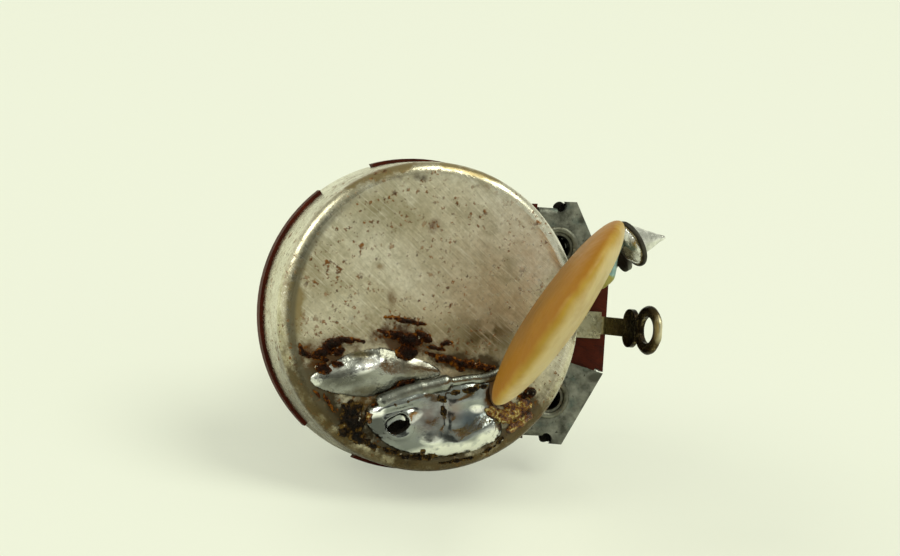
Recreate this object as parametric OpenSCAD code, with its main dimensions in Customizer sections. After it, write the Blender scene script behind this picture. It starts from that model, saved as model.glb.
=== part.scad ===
// Panel potentiometer with a solid shaft, seen from its can in normal use.
// A ceramic disc capacitor is soldered from one outer lug to the back of the can.
// The shaft lies on the Y axis and points to +Y, and the lugs are on the +X side.
// The origin is on the shaft axis at the face that seats against the panel.

/* [Can] */
// Outer diameter of the drawn steel can
can_d = 23.8; // [23.4:0.1:26]
// Depth of the can from its rim to the outside of its back
can_depth = 6.3; // [5.8:0.1:9]
// Sheet thickness of the can
can_wall = 0.45; // [0.3:0.05:0.6]
// Outer radius of the drawn edge round the back
can_edge_r = 0.95; // [0.7:0.05:1.4]
// Width of each of the four tabs that hold the stack together
tab_w = 4.4; // [3:0.1:5.5]
// How far each folded tab reaches over the front plate
tab_reach = 2.4; // [1.5:0.1:3]
// Inner radius of each fold in the can's sheet
can_fold_r = 0.25; // [0.15:0.05:0.4]
// Angle of the first tab from the middle of the lug side
tab_angle = 60; // [56:1:66]
// Height of the window in the rim over the lugs
window_h = 1.7; // [1.6:0.05:2]
// Half the angle that the window spans
window_half = 43; // [41:1:44]
// Width of the stop ear that is lanced from the window's edge
ear_w = 2.8; // [2:0.1:3.4]
// How far the stop ear reaches in from the can's wall
ear_reach = 2.1; // [1.8:0.1:2.4]

/* [Wafer] */
// How far the round part of the phenolic wafer stands out past the can
wafer_over = 0.25; // [0.1:0.05:0.5]
// Thickness of the wafer
wafer_t = 1.1; // [0.8:0.05:1.6]
// Gap between the bushing's swaged collar and the hole in the middle of the wafer
wafer_hole_gap = 0.2; // [0.15:0.05:0.4]
// How far the straight end of the tongue stands out past the can
tongue_reach = 3.95; // [3.6:0.05:4.4]
// Half the width of the tongue's straight end
tongue_end = 3.7; // [3.4:0.05:4]
// How far the tongue's widest corners lie back from its straight end
tongue_slant = 3.25; // [3:0.05:3.5]
// Half the width of the tongue at that corner
tongue_corner_y = 9.5; // [9.2:0.05:9.8]
// Thickness of the printed film track
film_t = 0.1; // [0.05:0.01:0.15]
// Distance from the can's inside to the outer edge of the track
track_margin = 1.75; // [1.5:0.05:1.9]
// Width of the track
track_w = 2; // [1.6:0.1:2.2]
// Half the angle of the gap in the track
track_gap = 28; // [27:1:29]
// Thickness of the collector ring
collector_t = 0.25; // [0.2:0.05:0.35]
// Width of the collector ring
collector_w = 1; // [0.8:0.1:1.4]

/* [Lugs] */
// Sheet thickness of the lugs
lug_t = 0.4; // [0.3:0.05:0.5]
// Inner radius of a lug's bend
lug_fold_r = 0.3; // [0.2:0.05:0.4]
// Width of a lug at its root
root_w = 2.1; // [1.8:0.1:2.4]
// Width of a lug's narrow stem
stem_w = 1.4; // [1.2:0.1:1.6]
// Length of the stem, from the bend to the cross bar
stem_len = 2.8; // [2.4:0.1:3.2]
// Width of the cross bar that stops the wire
bar_w = 3; // [2.6:0.1:3.4]
// Length of the cross bar along the lug
bar_len = 1.9; // [1.6:0.1:2.2]
// Outer diameter of the lug's ring
ring_d = 3.8; // [3.4:0.1:4.2]
// Radius of the eye through the ring
eye_r = 1.05; // [0.8:0.05:1.2]
// Distance from the bend to the centre of the ring
ring_at = 6.6; // [6.4:0.1:7]
// Width of the clips that wrap the sides of the tongue
clip_w = 1.5; // [1.2:0.1:1.6]
// How far inside the tongue's straight end the middle lug bends
mid_back = 0.6; // [0.4:0.05:0.8]
// Angle of the middle lug's bend toward the back
mid_angle = 78; // [70:1:88]
// Angle of the soldered outer lug's bend toward the back
wire_angle = 80; // [78:1:88]
// Angle of the soldered outer lug's sideways lean
wire_lean = 14; // [8:1:18]
// Angle of the free outer lug's bend toward the front
free_angle = 84; // [80:1:90]
// Distance of the row of eyelets from the tongue's straight end
eyelet_back = 4.55; // [4.45:0.05:4.65]
// Distance of each outer eyelet from the middle one
eyelet_pitch = 5.9; // [5.7:0.05:6.1]
// Radius of the hole through an eyelet
eyelet_r = 1; // [0.8:0.05:1.1]
// Wall of an eyelet
eyelet_wall = 0.25; // [0.2:0.05:0.3]
// Radius of the rolled bead round an eyelet's head
eyelet_bead = 0.26; // [0.2:0.01:0.28]
// Outer radius of an eyelet's head
eyelet_head_r = 1.7; // [1.65:0.01:1.74]

/* [Mounting] */
// How far the steel front plate lies back from the outside of the can
plate_inset = 0.3; // [0.2:0.05:0.4]
// Thickness of the front plate
plate_t = 1; // [0.8:0.05:1.2]
// Gap between the plate's straight cut and the eyelets
plate_gap = 0.4; // [0.3:0.05:0.8]
// Radius of the threaded bushing over its thread
bushing_r = 4.76; // [4.5:0.01:5]
// Length of the bushing in front of the panel face
bushing_len = 9.53; // [6:0.01:12]
// Pitch of the bushing's thread
thread_pitch = 0.8; // [0.75:0.01:1.2]
// Depth of the bushing's thread
thread_depth = 0.45; // [0.3:0.01:0.5]
// Radius of the bushing's shoulder
shoulder_r = 6.2; // [5.8:0.1:7]
// Thickness of the shoulder, which keeps the folded tabs behind the panel
shoulder_t = 0.6; // [0.55:0.05:0.9]
// Wall of the bushing's neck through the plate
neck_wall = 0.6; // [0.4:0.05:0.8]
// How far the collar that is swaged behind the plate stands out past the neck
swage_reach = 0.4; // [0.3:0.05:0.5]
// Height of that swaged collar
swage_h = 0.5; // [0.4:0.05:0.6]

/* [Shaft and rotor] */
// Radius of the shaft
shaft_r = 3.175; // [3:0.005:3.3]
// Distance from the panel face to the tip of the shaft
shaft_len = 22.2; // [16:0.1:32]
// Radial running clearance of the shaft in the bushing
run_gap = 0.05; // [0.03:0.005:0.08]
// End play of the shaft at each end of the bushing
end_play = 0.15; // [0.1:0.01:0.2]
// Depth of the groove for the retaining ring
groove_d = 0.5; // [0.4:0.05:0.7]
// Thickness of the retaining ring
clip_t = 0.8; // [0.6:0.05:1]
// How far the retaining ring stands out past the shaft
clip_reach = 1.2; // [0.8:0.05:1.4]
// Distance from the can's inside to the rotor's disc
rotor_margin = 3.25; // [3:0.05:3.5]
// Thickness of the rotor's disc
rotor_t = 1.4; // [1.2:0.05:1.6]
// Clearance of the rotor's hub in the wafer's hole
hub_gap = 0.3; // [0.2:0.05:0.5]
// Distance from the wafer to the rotor's disc
rotor_lift = 2.2; // [2.1:0.05:2.4]
// Half the angle of travel of the shaft
travel_half = 150; // [148:1:151]
// Sheet thickness of the wiper
wiper_t = 0.25; // [0.2:0.01:0.3]

/* [Capacitor and solder] */
// Diameter of the capacitor's coated disc
cap_d = 16.6; // [14:0.1:18]
// Thickness of the disc in its middle
cap_t = 3.6; // [3:0.1:4.5]
// Distance from the back of the can to the middle of the disc
cap_out = 10; // [9.8:0.1:11]
// Diameter of the capacitor's leads
lead_d = 0.65; // [0.5:0.05:0.8]
// Height of the fresh solder on the can's back
fresh_h = 1; // [0.8:0.05:1.4]
// Height of the older solder beside it
old_h = 0.55; // [0.4:0.05:0.8]
// Length of the solder's drawn-out point on the soldered lug
icicle_len = 2.7; // [1.8:0.1:3]

/* [Hidden] */
$fn = 72;

// Levels along the shaft, from the panel face back to the outside of the can
plate_front = -shoulder_t;
plate_back = plate_front - plate_t;
wafer_back = plate_back - wafer_t;
can_back = wafer_back - can_depth;
can_r = can_d / 2;
can_inside_r = can_r - can_wall;
tab_inner_r = can_r - tab_reach - can_fold_r;
wafer_r = can_r + wafer_over;
tongue_x = can_r + tongue_reach;
tongue_corner_x = tongue_x - tongue_slant;
// The edge of each wing leaves the round part of the wafer at this angle
wing_angle = 49;
wing = (wafer_r - 0.02) * [cos(wing_angle), sin(wing_angle)];
eyelet_x = tongue_x - eyelet_back;
rivet_hole_r = eyelet_r + eyelet_wall;
plate_r = can_r - plate_inset;
// Radii from the shaft outward: the bushing's bore, neck and collar, then the wafer's hole and the hub
bore_r = shaft_r + run_gap;
neck_r = bore_r + neck_wall;
swage_r = neck_r + swage_reach;
wafer_hole_r = swage_r + wafer_hole_gap;
hub_r = wafer_hole_r - hub_gap;
track_r = can_inside_r - track_margin - track_w / 2;
rotor_r = can_inside_r - rotor_margin;
clip_r = shaft_r + clip_reach;
// Radius of the flat part of the can's back
flat_r = can_r - can_edge_r;
plate_cut_x = eyelet_x - eyelet_head_r - plate_gap;
// The wafer and the plate are notched for the tabs with this gap all round
tab_gap = 0.1;
ear_level = wafer_back - window_h;
rotor_front = wafer_back - rotor_lift;
rotor_back = rotor_front - rotor_t;
hub_front = plate_back - swage_h - end_play;
groove_r = shaft_r - groove_d;
clip_front = bushing_len + end_play + clip_t;
// The tongue's slanted edges carry the outer lugs
slant = atan2(tongue_x - tongue_corner_x, tongue_corner_y - tongue_end);
// Each outer root starts this far along the slanted edge from the tongue's straight end
root_inset = 0.1;
// The outer lugs bend in notches that are this deep in the slanted edges, with this gap round them
notch_depth = 0.6;
notch_gap = 0.1;
root_x = tongue_x - (root_inset + root_w / 2) * sin(slant);
root_y = tongue_end + (root_inset + root_w / 2) * cos(slant);
// Each bend has a flat tail of this length within its plate, and a straight lead of this length after it
root_tail = 0.8;
stem_lead = 0.5;
// Radius of the ring's rounded outer edges
ring_round = 0.45 * lug_t;
// Outline of the outer terminals' plates: how far they reach inward from the eyelet, how far their
// inner edge lies below it, the bevel there, and how far they overhang the tongue's slanted edge
plate_half = 1.9;
plate_low = 2.8;
plate_bevel = 1.2;
plate_over = 0.1;
plate_edge_x = eyelet_x - plate_half;
plate_inner_y = eyelet_pitch - plate_low;
// Round relief beside the clip, whose middle lies this far inside the plate's side edge, and the clip's
// place on the side of the tongue
relief_r = 0.46;
relief_in = 0.34;
clip_in = 1.4;
clip_end_x = tongue_corner_x - clip_in;
clip_x = clip_end_x - clip_w;
side_in = 1;
side_y = tongue_corner_y - side_in;
side_step = 0.4;
clip_fold_r = 0.12;
// The middle lug lies on the collector ring's leg
mid_level = wafer_back - collector_t;
mid_x = tongue_x - mid_back;
// The ear's inner corner and the rotor's tang meet at the ends of the travel
stop_gap = 1;
ear_half = asin(ear_w / 2 / (can_inside_r - ear_reach));
tang_half = 180 - travel_half - ear_half - stop_gap;
tang_gap = 0.55;
tang_r = can_inside_r - tang_gap;
eps = 0.01;

// Turns a solid whose axis is Z into the part's frame, with +Z to the front and +Y down
module along_shaft() { rotate([-90, 0, 0]) children(); }

// Rounded rectangle from the axis out to r, between levels z0 and z1
module drum_section(r, z0, z1, c0, c1) {
  difference() {
    translate([0, z0]) square([r, z1 - z0]);
    translate([r - c0, z0]) square(c0);
    translate([r - c1, z1 - c1]) square(c1);
  }
  translate([r - c0, z0 + c0]) circle(c0);
  translate([r - c1, z1 - c1]) circle(c1);
}

// Four bars that cover the tabs, as opposite tabs share one bar
module tab_bars(width, z0, z1) {
  for (a = [tab_angle, -tab_angle])
    rotate([0, 0, a]) translate([-can_d, -width / 2, z0]) cube([2 * can_d, width, z1 - z0]);
}

module can() {
  color([0.73, 0.71, 0.62]) along_shaft() {
    difference() {
      rotate_extrude() difference() {
        drum_section(can_r, can_back, plate_front + can_wall, can_edge_r, can_wall + can_fold_r);
        drum_section(can_inside_r, can_back + can_wall, plate_front,
                     can_edge_r - can_wall, can_fold_r);
        translate([0, wafer_back]) square([tab_inner_r, can_depth]);
      }
      difference() {
        translate([0, 0, wafer_back]) cylinder(h = can_depth, r = can_d);
        tab_bars(tab_w, can_back, can_depth);
      }
      rotate([0, 0, -window_half]) rotate_extrude(angle = 2 * window_half)
        translate([can_inside_r - 1, ear_level]) square([3, window_h + 1]);
      translate([can_inside_r - 1, -ear_w / 2 - can_fold_r, ear_level - can_wall - can_fold_r])
        cube([3, ear_w + 2 * can_fold_r, window_h]);
    }
    stop_ear();
  }
}

// Ear that is bent in from the wall over the window
module stop_ear() {
  bend_x = can_inside_r - can_fold_r;
  bend_z = ear_level - can_wall - can_fold_r;
  // The ear's root lies within the curved wall, which falls back by sag at the ear's sides
  root_depth = 0.4;
  sag = can_r - sqrt(can_r * can_r - ear_w * ear_w / 4);
  translate([0, ear_w / 2, 0]) rotate([90, 0, 0]) linear_extrude(ear_w) {
    translate([can_inside_r - ear_reach, ear_level - can_wall])
      square([ear_reach - can_fold_r, can_wall]);
    translate([bend_x, bend_z]) intersection() {
      difference() { circle(can_wall + can_fold_r); circle(can_fold_r); }
      square(can_wall + can_fold_r);
    }
    translate([can_inside_r + eps, bend_z - root_depth])
      square([can_wall - sag - 3 * eps, root_depth + eps]);
  }
}

module wafer() {
  color([0.3, 0.12, 0.07]) along_shaft() difference() {
    translate([0, 0, wafer_back]) linear_extrude(wafer_t) difference() {
      union() {
        circle(wafer_r);
        polygon([[wing[0], -wing[1]], [tongue_corner_x, -tongue_corner_y], [tongue_x, -tongue_end],
                 [tongue_x, tongue_end], [tongue_corner_x, tongue_corner_y], wing]);
      }
      circle(wafer_hole_r);
      for (y = [-1, 0, 1]) translate([eyelet_x, y * eyelet_pitch]) circle(rivet_hole_r);
      for (s = [-1, 1]) {
        translate([root_x, s * root_y]) rotate(s * slant)
          translate([-notch_depth - notch_gap, -root_w / 2 - notch_gap])
            square([2 * notch_depth, root_w + 2 * notch_gap]);
        translate([clip_x - notch_gap, s > 0 ? side_y : -side_y - 2 * side_in])
          square([clip_w + 2 * notch_gap, 2 * side_in]);
      }
    }
    tab_notches(wafer_back - 1, plate_back + 1);
  }
}

// Notches in which the tabs pass the edge of the wafer and of the plate
module tab_notches(z0, z1) {
  difference() {
    tab_bars(tab_w + 2 * tab_gap, z0, z1);
    translate([0, 0, z0 - 1])
      cylinder(h = z1 - z0 + 2, r = can_inside_r - can_fold_r - tab_gap);
  }
}

module resistive_track() {
  color([0.1, 0.1, 0.11]) along_shaft() translate([0, 0, wafer_back - film_t]) linear_extrude(film_t) {
    difference() {
      circle(track_r + track_w / 2);
      circle(track_r - track_w / 2);
      polygon([[0, 0], can_d * [cos(track_gap), sin(track_gap)], can_d * [cos(track_gap), -sin(track_gap)]]);
    }
    for (s = [-1, 1]) translate([pad_x, s * (pad_y + track_w / 2) - track_w / 2])
      square([plate_edge_x - pad_x, track_w]);
  }
}
// Silver pads join the ends of the track to the outer lugs' plates
pad_x = (track_r - track_w / 2) * cos(track_gap) + 0.2;
pad_y = track_r * sin(track_gap) + 0.25;

module collector_ring() {
  color([0.75, 0.72, 0.6]) along_shaft() translate([0, 0, mid_level]) linear_extrude(collector_t)
    difference() {
      union() {
        circle(collector_r + collector_w);
        translate([0, -root_w / 2]) square([eyelet_x, root_w]);
        translate([eyelet_x, 0]) circle(eyelet_head_r);
      }
      circle(collector_r);
      translate([eyelet_x, 0]) circle(rivet_hole_r);
    }
}
// Inner radius of the collector ring, just outside the wafer's hole
collector_r = wafer_hole_r + 0.2;
collector_mid = collector_r + collector_w / 2;

// Section of a lug's sheet that runs along +X for a tail, bends toward -Z and runs on for a lead
function fold_arc(r, radius, angle) = [for (i = [0:10]) let (a = angle * i / 10)
  [radius * sin(a), radius * cos(a) - r]];
function fold_section(r, angle, tail, lead) = let (
    ahead = lead * [cos(angle), -sin(angle)],
    outer = fold_arc(r, r + lug_t, angle),
    inner = fold_arc(r, r, angle))
  concat([[-tail, lug_t]], outer, [outer[10] + ahead, inner[10] + ahead],
         [for (i = [10:-1:0]) inner[i]], [[-tail, 0]]);

// Bent strip of lug sheet, where the sheet lies between 0 and lug_t before the bend
module bent_strip(width, r, angle, tail, lead) {
  translate([0, width / 2, 0]) rotate([90, 0, 0]) linear_extrude(width)
    polygon(fold_section(r, angle, tail, lead));
}
module lug_fold(angle, tail) { bent_strip(stem_w, lug_fold_r, angle, tail, stem_lead); }

// Moves what follows a bend onto the end of that bend
module after_fold(angle) {
  translate([0, 0, -lug_fold_r]) rotate([0, angle, 0]) translate([0, 0, lug_fold_r]) children();
}

// Stem, cross bar and ring of a lug, flat, from the end of its bend
module lug_blank(lean) {
  rotate(lean) difference() {
    union() {
      linear_extrude(lug_t) {
        translate([eps, -stem_w / 2]) square([ring_at - eps, stem_w]);
        for (y = [-1, 1]) translate([stem_len + bar_len / 2, y * (bar_w - bar_len) / 2]) circle(bar_len / 2);
        translate([stem_len, -(bar_w - bar_len) / 2]) square([bar_len, bar_w - bar_len]);
      }
      translate([ring_at, 0, 0]) rotate_extrude() ring_section();
    }
    translate([ring_at, 0, -lug_t]) cylinder(h = 3 * lug_t, r = eye_r);
  }
}

// Half section of a lug's ring, whose outer edges are rounded by the tin on it
module ring_section() {
  square([ring_d / 2 - ring_round, lug_t]);
  translate([0, ring_round]) square([ring_d / 2, lug_t - 2 * ring_round]);
  for (z = [ring_round, lug_t - ring_round]) translate([ring_d / 2 - ring_round, z]) circle(ring_round);
}

// Seats an outer lug in its notch in the slanted edge, with +X square to that edge
module on_slant(side) {
  translate([root_x, side * root_y, 0]) rotate([0, 0, side * slant])
    translate([-notch_depth, 0, 0]) children();
}

// Flat plate of an outer terminal, riveted over the tongue's corner
module corner_plate(side) {
  linear_extrude(lug_t) mirror([0, side < 0 ? 1 : 0]) difference() {
    polygon([[plate_edge_x, plate_inner_y + plate_bevel], [plate_edge_x + plate_bevel, plate_inner_y],
             [tongue_x - plate_low, plate_inner_y], [tongue_x - plate_over, tongue_end + plate_over],
             [tongue_corner_x + plate_over, tongue_corner_y + plate_over],
             [clip_end_x, tongue_corner_y + plate_over / 2],
             [clip_end_x, side_y], [clip_x, side_y], [plate_edge_x, side_y - side_step]]);
    translate([clip_end_x + relief_r / 2, tongue_corner_y + plate_over / 2 - relief_in]) circle(relief_r);
    translate([eyelet_x, eyelet_pitch]) circle(rivet_hole_r);
  }
}

// Clip that wraps the side of the tongue down to its front face, with a flat tail under the plate
module side_clip(side) {
  translate([clip_x + clip_w / 2, side * side_y, lug_t]) rotate([0, 0, side * 90])
    mirror([0, 0, 1]) bent_strip(clip_w, clip_fold_r, 90, root_tail, wafer_t - clip_fold_r);
}

module terminal_1() {
  color([0.42, 0.42, 0.38]) along_shaft() translate([0, 0, wafer_back - lug_t]) {
    corner_plate(-1);
    side_clip(-1);
    on_slant(-1) {
      lug_fold(wire_angle, root_tail);
      after_fold(wire_angle) lug_blank(-wire_lean);
    }
  }
}

module terminal_2() {
  color([0.6, 0.56, 0.45]) along_shaft() translate([0, 0, mid_level - lug_t]) {
    difference() {
      union() {
        translate([mid_x, 0, 0]) lug_fold(mid_angle, root_tail);
        translate([eyelet_x, -root_w / 2, 0]) cube([mid_x - eyelet_x, root_w, lug_t]);
        translate([eyelet_x, 0, 0]) cylinder(h = lug_t, r = eyelet_head_r);
      }
      translate([eyelet_x, 0, -lug_t]) cylinder(h = 3 * lug_t, r = rivet_hole_r);
    }
    translate([mid_x, 0, 0]) after_fold(mid_angle) lug_blank(0);
  }
}

module terminal_3() {
  color([0.42, 0.42, 0.38]) along_shaft() translate([0, 0, wafer_back - lug_t]) {
    corner_plate(1);
    side_clip(1);
    on_slant(1) translate([0, 0, lug_t]) mirror([0, 0, 1]) {
      lug_fold(free_angle, root_tail);
      after_fold(free_angle) lug_blank(0);
    }
  }
}

// Hollow eyelet that rivets a terminal to the wafer, with its rolled head to the back
module eyelet(y, seat) {
  color([0.55, 0.53, 0.45]) along_shaft() translate([eyelet_x, y, 0]) rotate_extrude() {
    foot = 0.3;
    translate([eyelet_r, seat - foot]) square([eyelet_wall, plate_back + foot - seat + foot]);
    translate([eyelet_r, seat - foot]) square([eyelet_head_r - eyelet_bead - eyelet_r, foot]);
    translate([eyelet_head_r - eyelet_bead, seat - eyelet_bead]) circle(eyelet_bead);
    translate([eyelet_r, plate_back]) square([eyelet_head_r - eyelet_r, foot]);
  }
}
module eyelet_1() { eyelet(-eyelet_pitch, wafer_back - lug_t); }
module eyelet_2() { eyelet(0, mid_level - lug_t); }
module eyelet_3() { eyelet(eyelet_pitch, wafer_back - lug_t); }

module front_plate() {
  color([0.66, 0.65, 0.6]) along_shaft() difference() {
    translate([0, 0, plate_back]) linear_extrude(plate_t) difference() {
      circle(plate_r);
      circle(neck_r);
      translate([plate_cut_x, -can_d]) square(2 * can_d);
    }
    tab_notches(plate_back - 1, plate_front + 1);
  }
}

// The bushing's thread is drawn as rings with 60-degree flanks, from a plain pilot to clear of the tip
thread_root_r = bushing_r - thread_depth;
thread_flank = thread_depth * tan(30);
thread_crest = thread_pitch / 8;
thread_start = 0.6;
thread_rings = floor((bushing_len - thread_start - thread_depth) / thread_pitch);
function thread_ring(y) = [[thread_root_r, y], [bushing_r, y + thread_flank],
  [bushing_r, y + thread_flank + thread_crest], [thread_root_r, y + 2 * thread_flank + thread_crest]];

module bushing() {
  swage_bevel = 0.3;
  tip = thread_depth / 3;
  first_ring = thread_start + thread_pitch - thread_flank - thread_crest;
  color([0.78, 0.76, 0.68]) along_shaft() rotate_extrude() polygon(concat(
    [[bore_r, plate_back - swage_h], [swage_r - swage_bevel, plate_back - swage_h],
     [swage_r, plate_back - swage_h + swage_bevel], [swage_r, plate_back], [neck_r, plate_back],
     [neck_r, plate_front], [shoulder_r, plate_front], [shoulder_r, 0], [bushing_r, 0],
     [bushing_r, thread_start], [thread_root_r, thread_start + thread_flank]],
    [for (i = [0:thread_rings - 1]) each thread_ring(first_ring + i * thread_pitch)],
    [[thread_root_r, bushing_len - tip], [thread_root_r - tip, bushing_len], [bore_r, bushing_len]]));
}

// The shaft's neck has two flats that drive the rotor, and its end is riveted over
neck_gap = 0.03;
drive_r = shaft_r - 0.575;
drive_half = drive_r - 0.5;
rivet_r = drive_r + 0.5;
rivet_h = 0.6;

module drive_section(gap) {
  intersection() {
    circle(drive_r + gap);
    square([2 * drive_half + 2 * gap, 4 * drive_r], center = true);
  }
}

module shaft() {
  chamfer = 0.6;
  color([0.75, 0.74, 0.7]) along_shaft() {
    rotate_extrude() polygon([[0, hub_front], [shaft_r, hub_front], [shaft_r, clip_front - clip_t],
      [groove_r, clip_front - clip_t], [groove_r, clip_front], [shaft_r, clip_front],
      [shaft_r, shaft_len - chamfer], [shaft_r - chamfer, shaft_len], [0, shaft_len]]);
    translate([0, 0, rotor_back - eps]) linear_extrude(hub_front - rotor_back + 2 * eps)
      drive_section(0);
    translate([0, 0, rotor_back - rivet_h]) cylinder(h = rivet_h, r1 = drive_half, r2 = rivet_r);
  }
}

// Open ring that is pressed into the shaft's groove in front of the bushing
module retaining_ring() {
  // The ring fills its groove but for a hair, and its mouth snaps over the groove's floor
  hair = 0.02;
  snap = 0.45;
  mouth = 2 * (groove_r - snap);
  color([0.6, 0.55, 0.4]) along_shaft() translate([0, 0, clip_front - clip_t + hair])
    linear_extrude(clip_t - 2 * hair) difference() {
      circle(clip_r);
      circle(groove_r + neck_gap);
      translate([0, -mouth / 2]) square([2 * clip_r, mouth]);
    }
}

// Two moulded studs hold the wiper on the rotor
stud_r = 0.5;
stud_at = hub_r + 1.3;

module rotor() {
  // The tang stands up to the ear's level, and its foot lies in the disc
  tang_front = ear_level + 0.3;
  tang_foot_r = rotor_r - 0.6;
  color([0.2, 0.1, 0.06]) along_shaft() {
    difference() {
      union() {
        translate([0, 0, rotor_back]) cylinder(h = rotor_t, r = rotor_r);
        translate([0, 0, rotor_front - eps]) cylinder(h = hub_front - rotor_front + eps, r = hub_r);
        rotate([0, 0, 180 - tang_half]) rotate_extrude(angle = 2 * tang_half)
          translate([tang_foot_r, rotor_back]) square([tang_r - tang_foot_r, rotor_t]);
        rotate([0, 0, 180 - tang_half]) rotate_extrude(angle = 2 * tang_half)
          translate([track_r + track_w / 2, rotor_back])
            square([tang_r - track_r - track_w / 2, tang_front - rotor_back]);
      }
      translate([0, 0, rotor_back - 1]) linear_extrude(hub_front - rotor_back + 2)
        drive_section(neck_gap);
    }
    for (s = [-1, 1]) translate([0, s * stud_at, rotor_front - eps])
      cylinder(h = wiper_t + 0.25, r = stud_r);
  }
}

// The wiper's ring is staked to the rotor, and its fingers press on the track and the collector
module wiper_spring() {
  inner = hub_r + 0.25;
  outer = stud_at + 1.2;
  root = 0.4;
  finger_y = 0.6;
  track_face = wafer_back - film_t;
  color([0.72, 0.5, 0.25]) along_shaft() {
    translate([0, 0, rotor_front]) linear_extrude(wiper_t) difference() {
      circle(outer);
      circle(inner);
      for (s = [-1, 1]) translate([0, s * stud_at]) circle(stud_r + neck_gap);
    }
    for (y = [-finger_y, finger_y]) {
      wiper_finger(180, outer - root, track_r, y, track_face);
      wiper_finger(0, outer - root, collector_mid, y, mid_level);
    }
  }
}

// One finger from the wiper's ring at radius r0 to its rounded tip at radius r1
module wiper_finger(turn, r0, r1, y, face) {
  tip_r = 0.3;
  finger_w = 0.8;
  contact_gap = 0.06;
  rise = face - tip_r - contact_gap - rotor_front;
  run = r1 - r0;
  reach = sqrt(run * run + rise * rise);
  rotate([0, 0, turn]) translate([r0, y - finger_w / 2, rotor_front + wiper_t / 2]) {
    rotate([0, -atan2(rise - wiper_t / 2, run), 0]) translate([0, 0, -wiper_t / 2])
      cube([reach, finger_w, wiper_t]);
    translate([run, 0, rise - wiper_t / 2]) rotate([-90, 0, 0]) cylinder(h = finger_w, r = tip_r);
  }
}

// Middle of the soldered lug's ring, on its inner face
function turned(p, a) = [p[0] * cos(a) - p[1] * sin(a), p[0] * sin(a) + p[1] * cos(a)];
wire_ring = let (
    flat = turned([ring_at, 0], -wire_lean),
    away = flat[0] * cos(wire_angle) + lug_fold_r * sin(wire_angle),
    down = -flat[0] * sin(wire_angle) + lug_fold_r * cos(wire_angle) - lug_fold_r,
    level = turned([away - notch_depth, flat[1]], -slant))
  [root_x + level[0], wafer_back - lug_t + down, root_y - level[1]];

// Point over the can's back, from its X and Z and its height
function on_back(p, h) = [p[0], can_back - h, p[1]];
// Middles of the two masses of solder: the fresh one from the lower edge of the can's flat back, and
// the old one beside it
fresh_rise = 3.35;
fresh_at = [0.6, fresh_rise - flat_r];
old_at = fresh_at + [-5, 3.1];

// Middle of the capacitor's disc, and the turns that stand it on edge
cap_side = 8.05;
cap_drop = 5.4;
cap_at = [wire_ring[0] - cap_side, can_back - cap_out, wire_ring[2] - cap_drop];
cap_turn = 14.3;
cap_tilt = 31;
disc_across = [-sin(cap_tilt) * cos(cap_turn), sin(cap_tilt) * sin(cap_turn), -cos(cap_tilt)];
disc_inward = [sin(cap_turn), cos(cap_turn), 0];
// Point in the disc's middle plane, at an angle from the direction of the can and at a radius
function disc_point(angle, r) = cap_at + r * (cos(angle) * disc_inward + sin(angle) * disc_across);

// Half section of the coated disc, thinner and rounder at its rim than a plain lens
function disc_edge(a, b, n) = [for (i = [0:n]) let (t = -90 + 180 * i / n) [a * cos(t), b * sin(t)]];

module capacitor() {
  color([0.8, 0.58, 0.3]) {
    translate(cap_at) rotate([0, 0, -cap_turn]) rotate([0, 90 + cap_tilt, 0])
      rotate_extrude() polygon(disc_edge(cap_d / 2, cap_t / 2, 24));
    resin_run(lead_1_route, [0.95, 0.95, 0.7, 0.42]);
    resin_run(lead_2_route, [0.95, 0.9, 0.42]);
  }
}

// Resin that runs down a lead from the disc's edge, with its radius at each point of the lead's route
module resin_run(route, radii) {
  for (i = [0:len(radii) - 2]) hull() for (k = [i, i + 1]) translate(route[k]) sphere(r = radii[k], $fn = 16);
}

// Smooth curve through points: each span has the given number of steps
function span_point(p, t) = 0.5 * (2 * p[1] + t * (p[2] - p[0])
  + t * t * (2 * p[0] - 5 * p[1] + 4 * p[2] - p[3])
  + t * t * t * (3 * p[1] - 3 * p[2] + p[3] - p[0]));
function open_curve(pts, steps) = let (n = len(pts)) concat(
  [for (i = [0:n - 2], j = [0:steps - 1])
    span_point([pts[max(i - 1, 0)], pts[i], pts[i + 1], pts[min(i + 2, n - 1)]], j / steps)],
  [pts[n - 1]]);
function closed_curve(pts, steps) = let (n = len(pts)) [for (i = [0:n - 1], j = [0:steps - 1])
  span_point([pts[(i + n - 1) % n], pts[i], pts[(i + 1) % n], pts[(i + 2) % n]], j / steps)];

// Round wire swept along a path, with flat ends
function unit(v) = v / norm(v);
function path_dirs(path) = let (n = len(path))
  [for (i = [0:n - 1]) unit(path[min(i + 1, n - 1)] - path[max(i - 1, 0)])];
function carried(dirs, i, up) = i == 0 ? unit(up - (up * dirs[0]) * dirs[0])
  : let (before = carried(dirs, i - 1, up)) unit(before - (before * dirs[i]) * dirs[i]);
module wire(path, r, up) {
  sides = 12;
  n = len(path);
  dirs = path_dirs(path);
  points = [for (i = [0:n - 1]) let (u = carried(dirs, i, up), v = cross(dirs[i], u))
    for (k = [0:sides - 1]) path[i] + r * (cos(360 * k / sides) * u + sin(360 * k / sides) * v)];
  polyhedron(points, concat([[for (k = [0:sides - 1]) k]],
    [for (i = [0:n - 2], k = [0:sides - 1])
      [i * sides + k, (i + 1) * sides + k, (i + 1) * sides + (k + 1) % sides, i * sides + (k + 1) % sides]],
    [[for (k = [0:sides - 1]) (n - 1) * sides + sides - 1 - k]]), convexity = 6);
}

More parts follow.
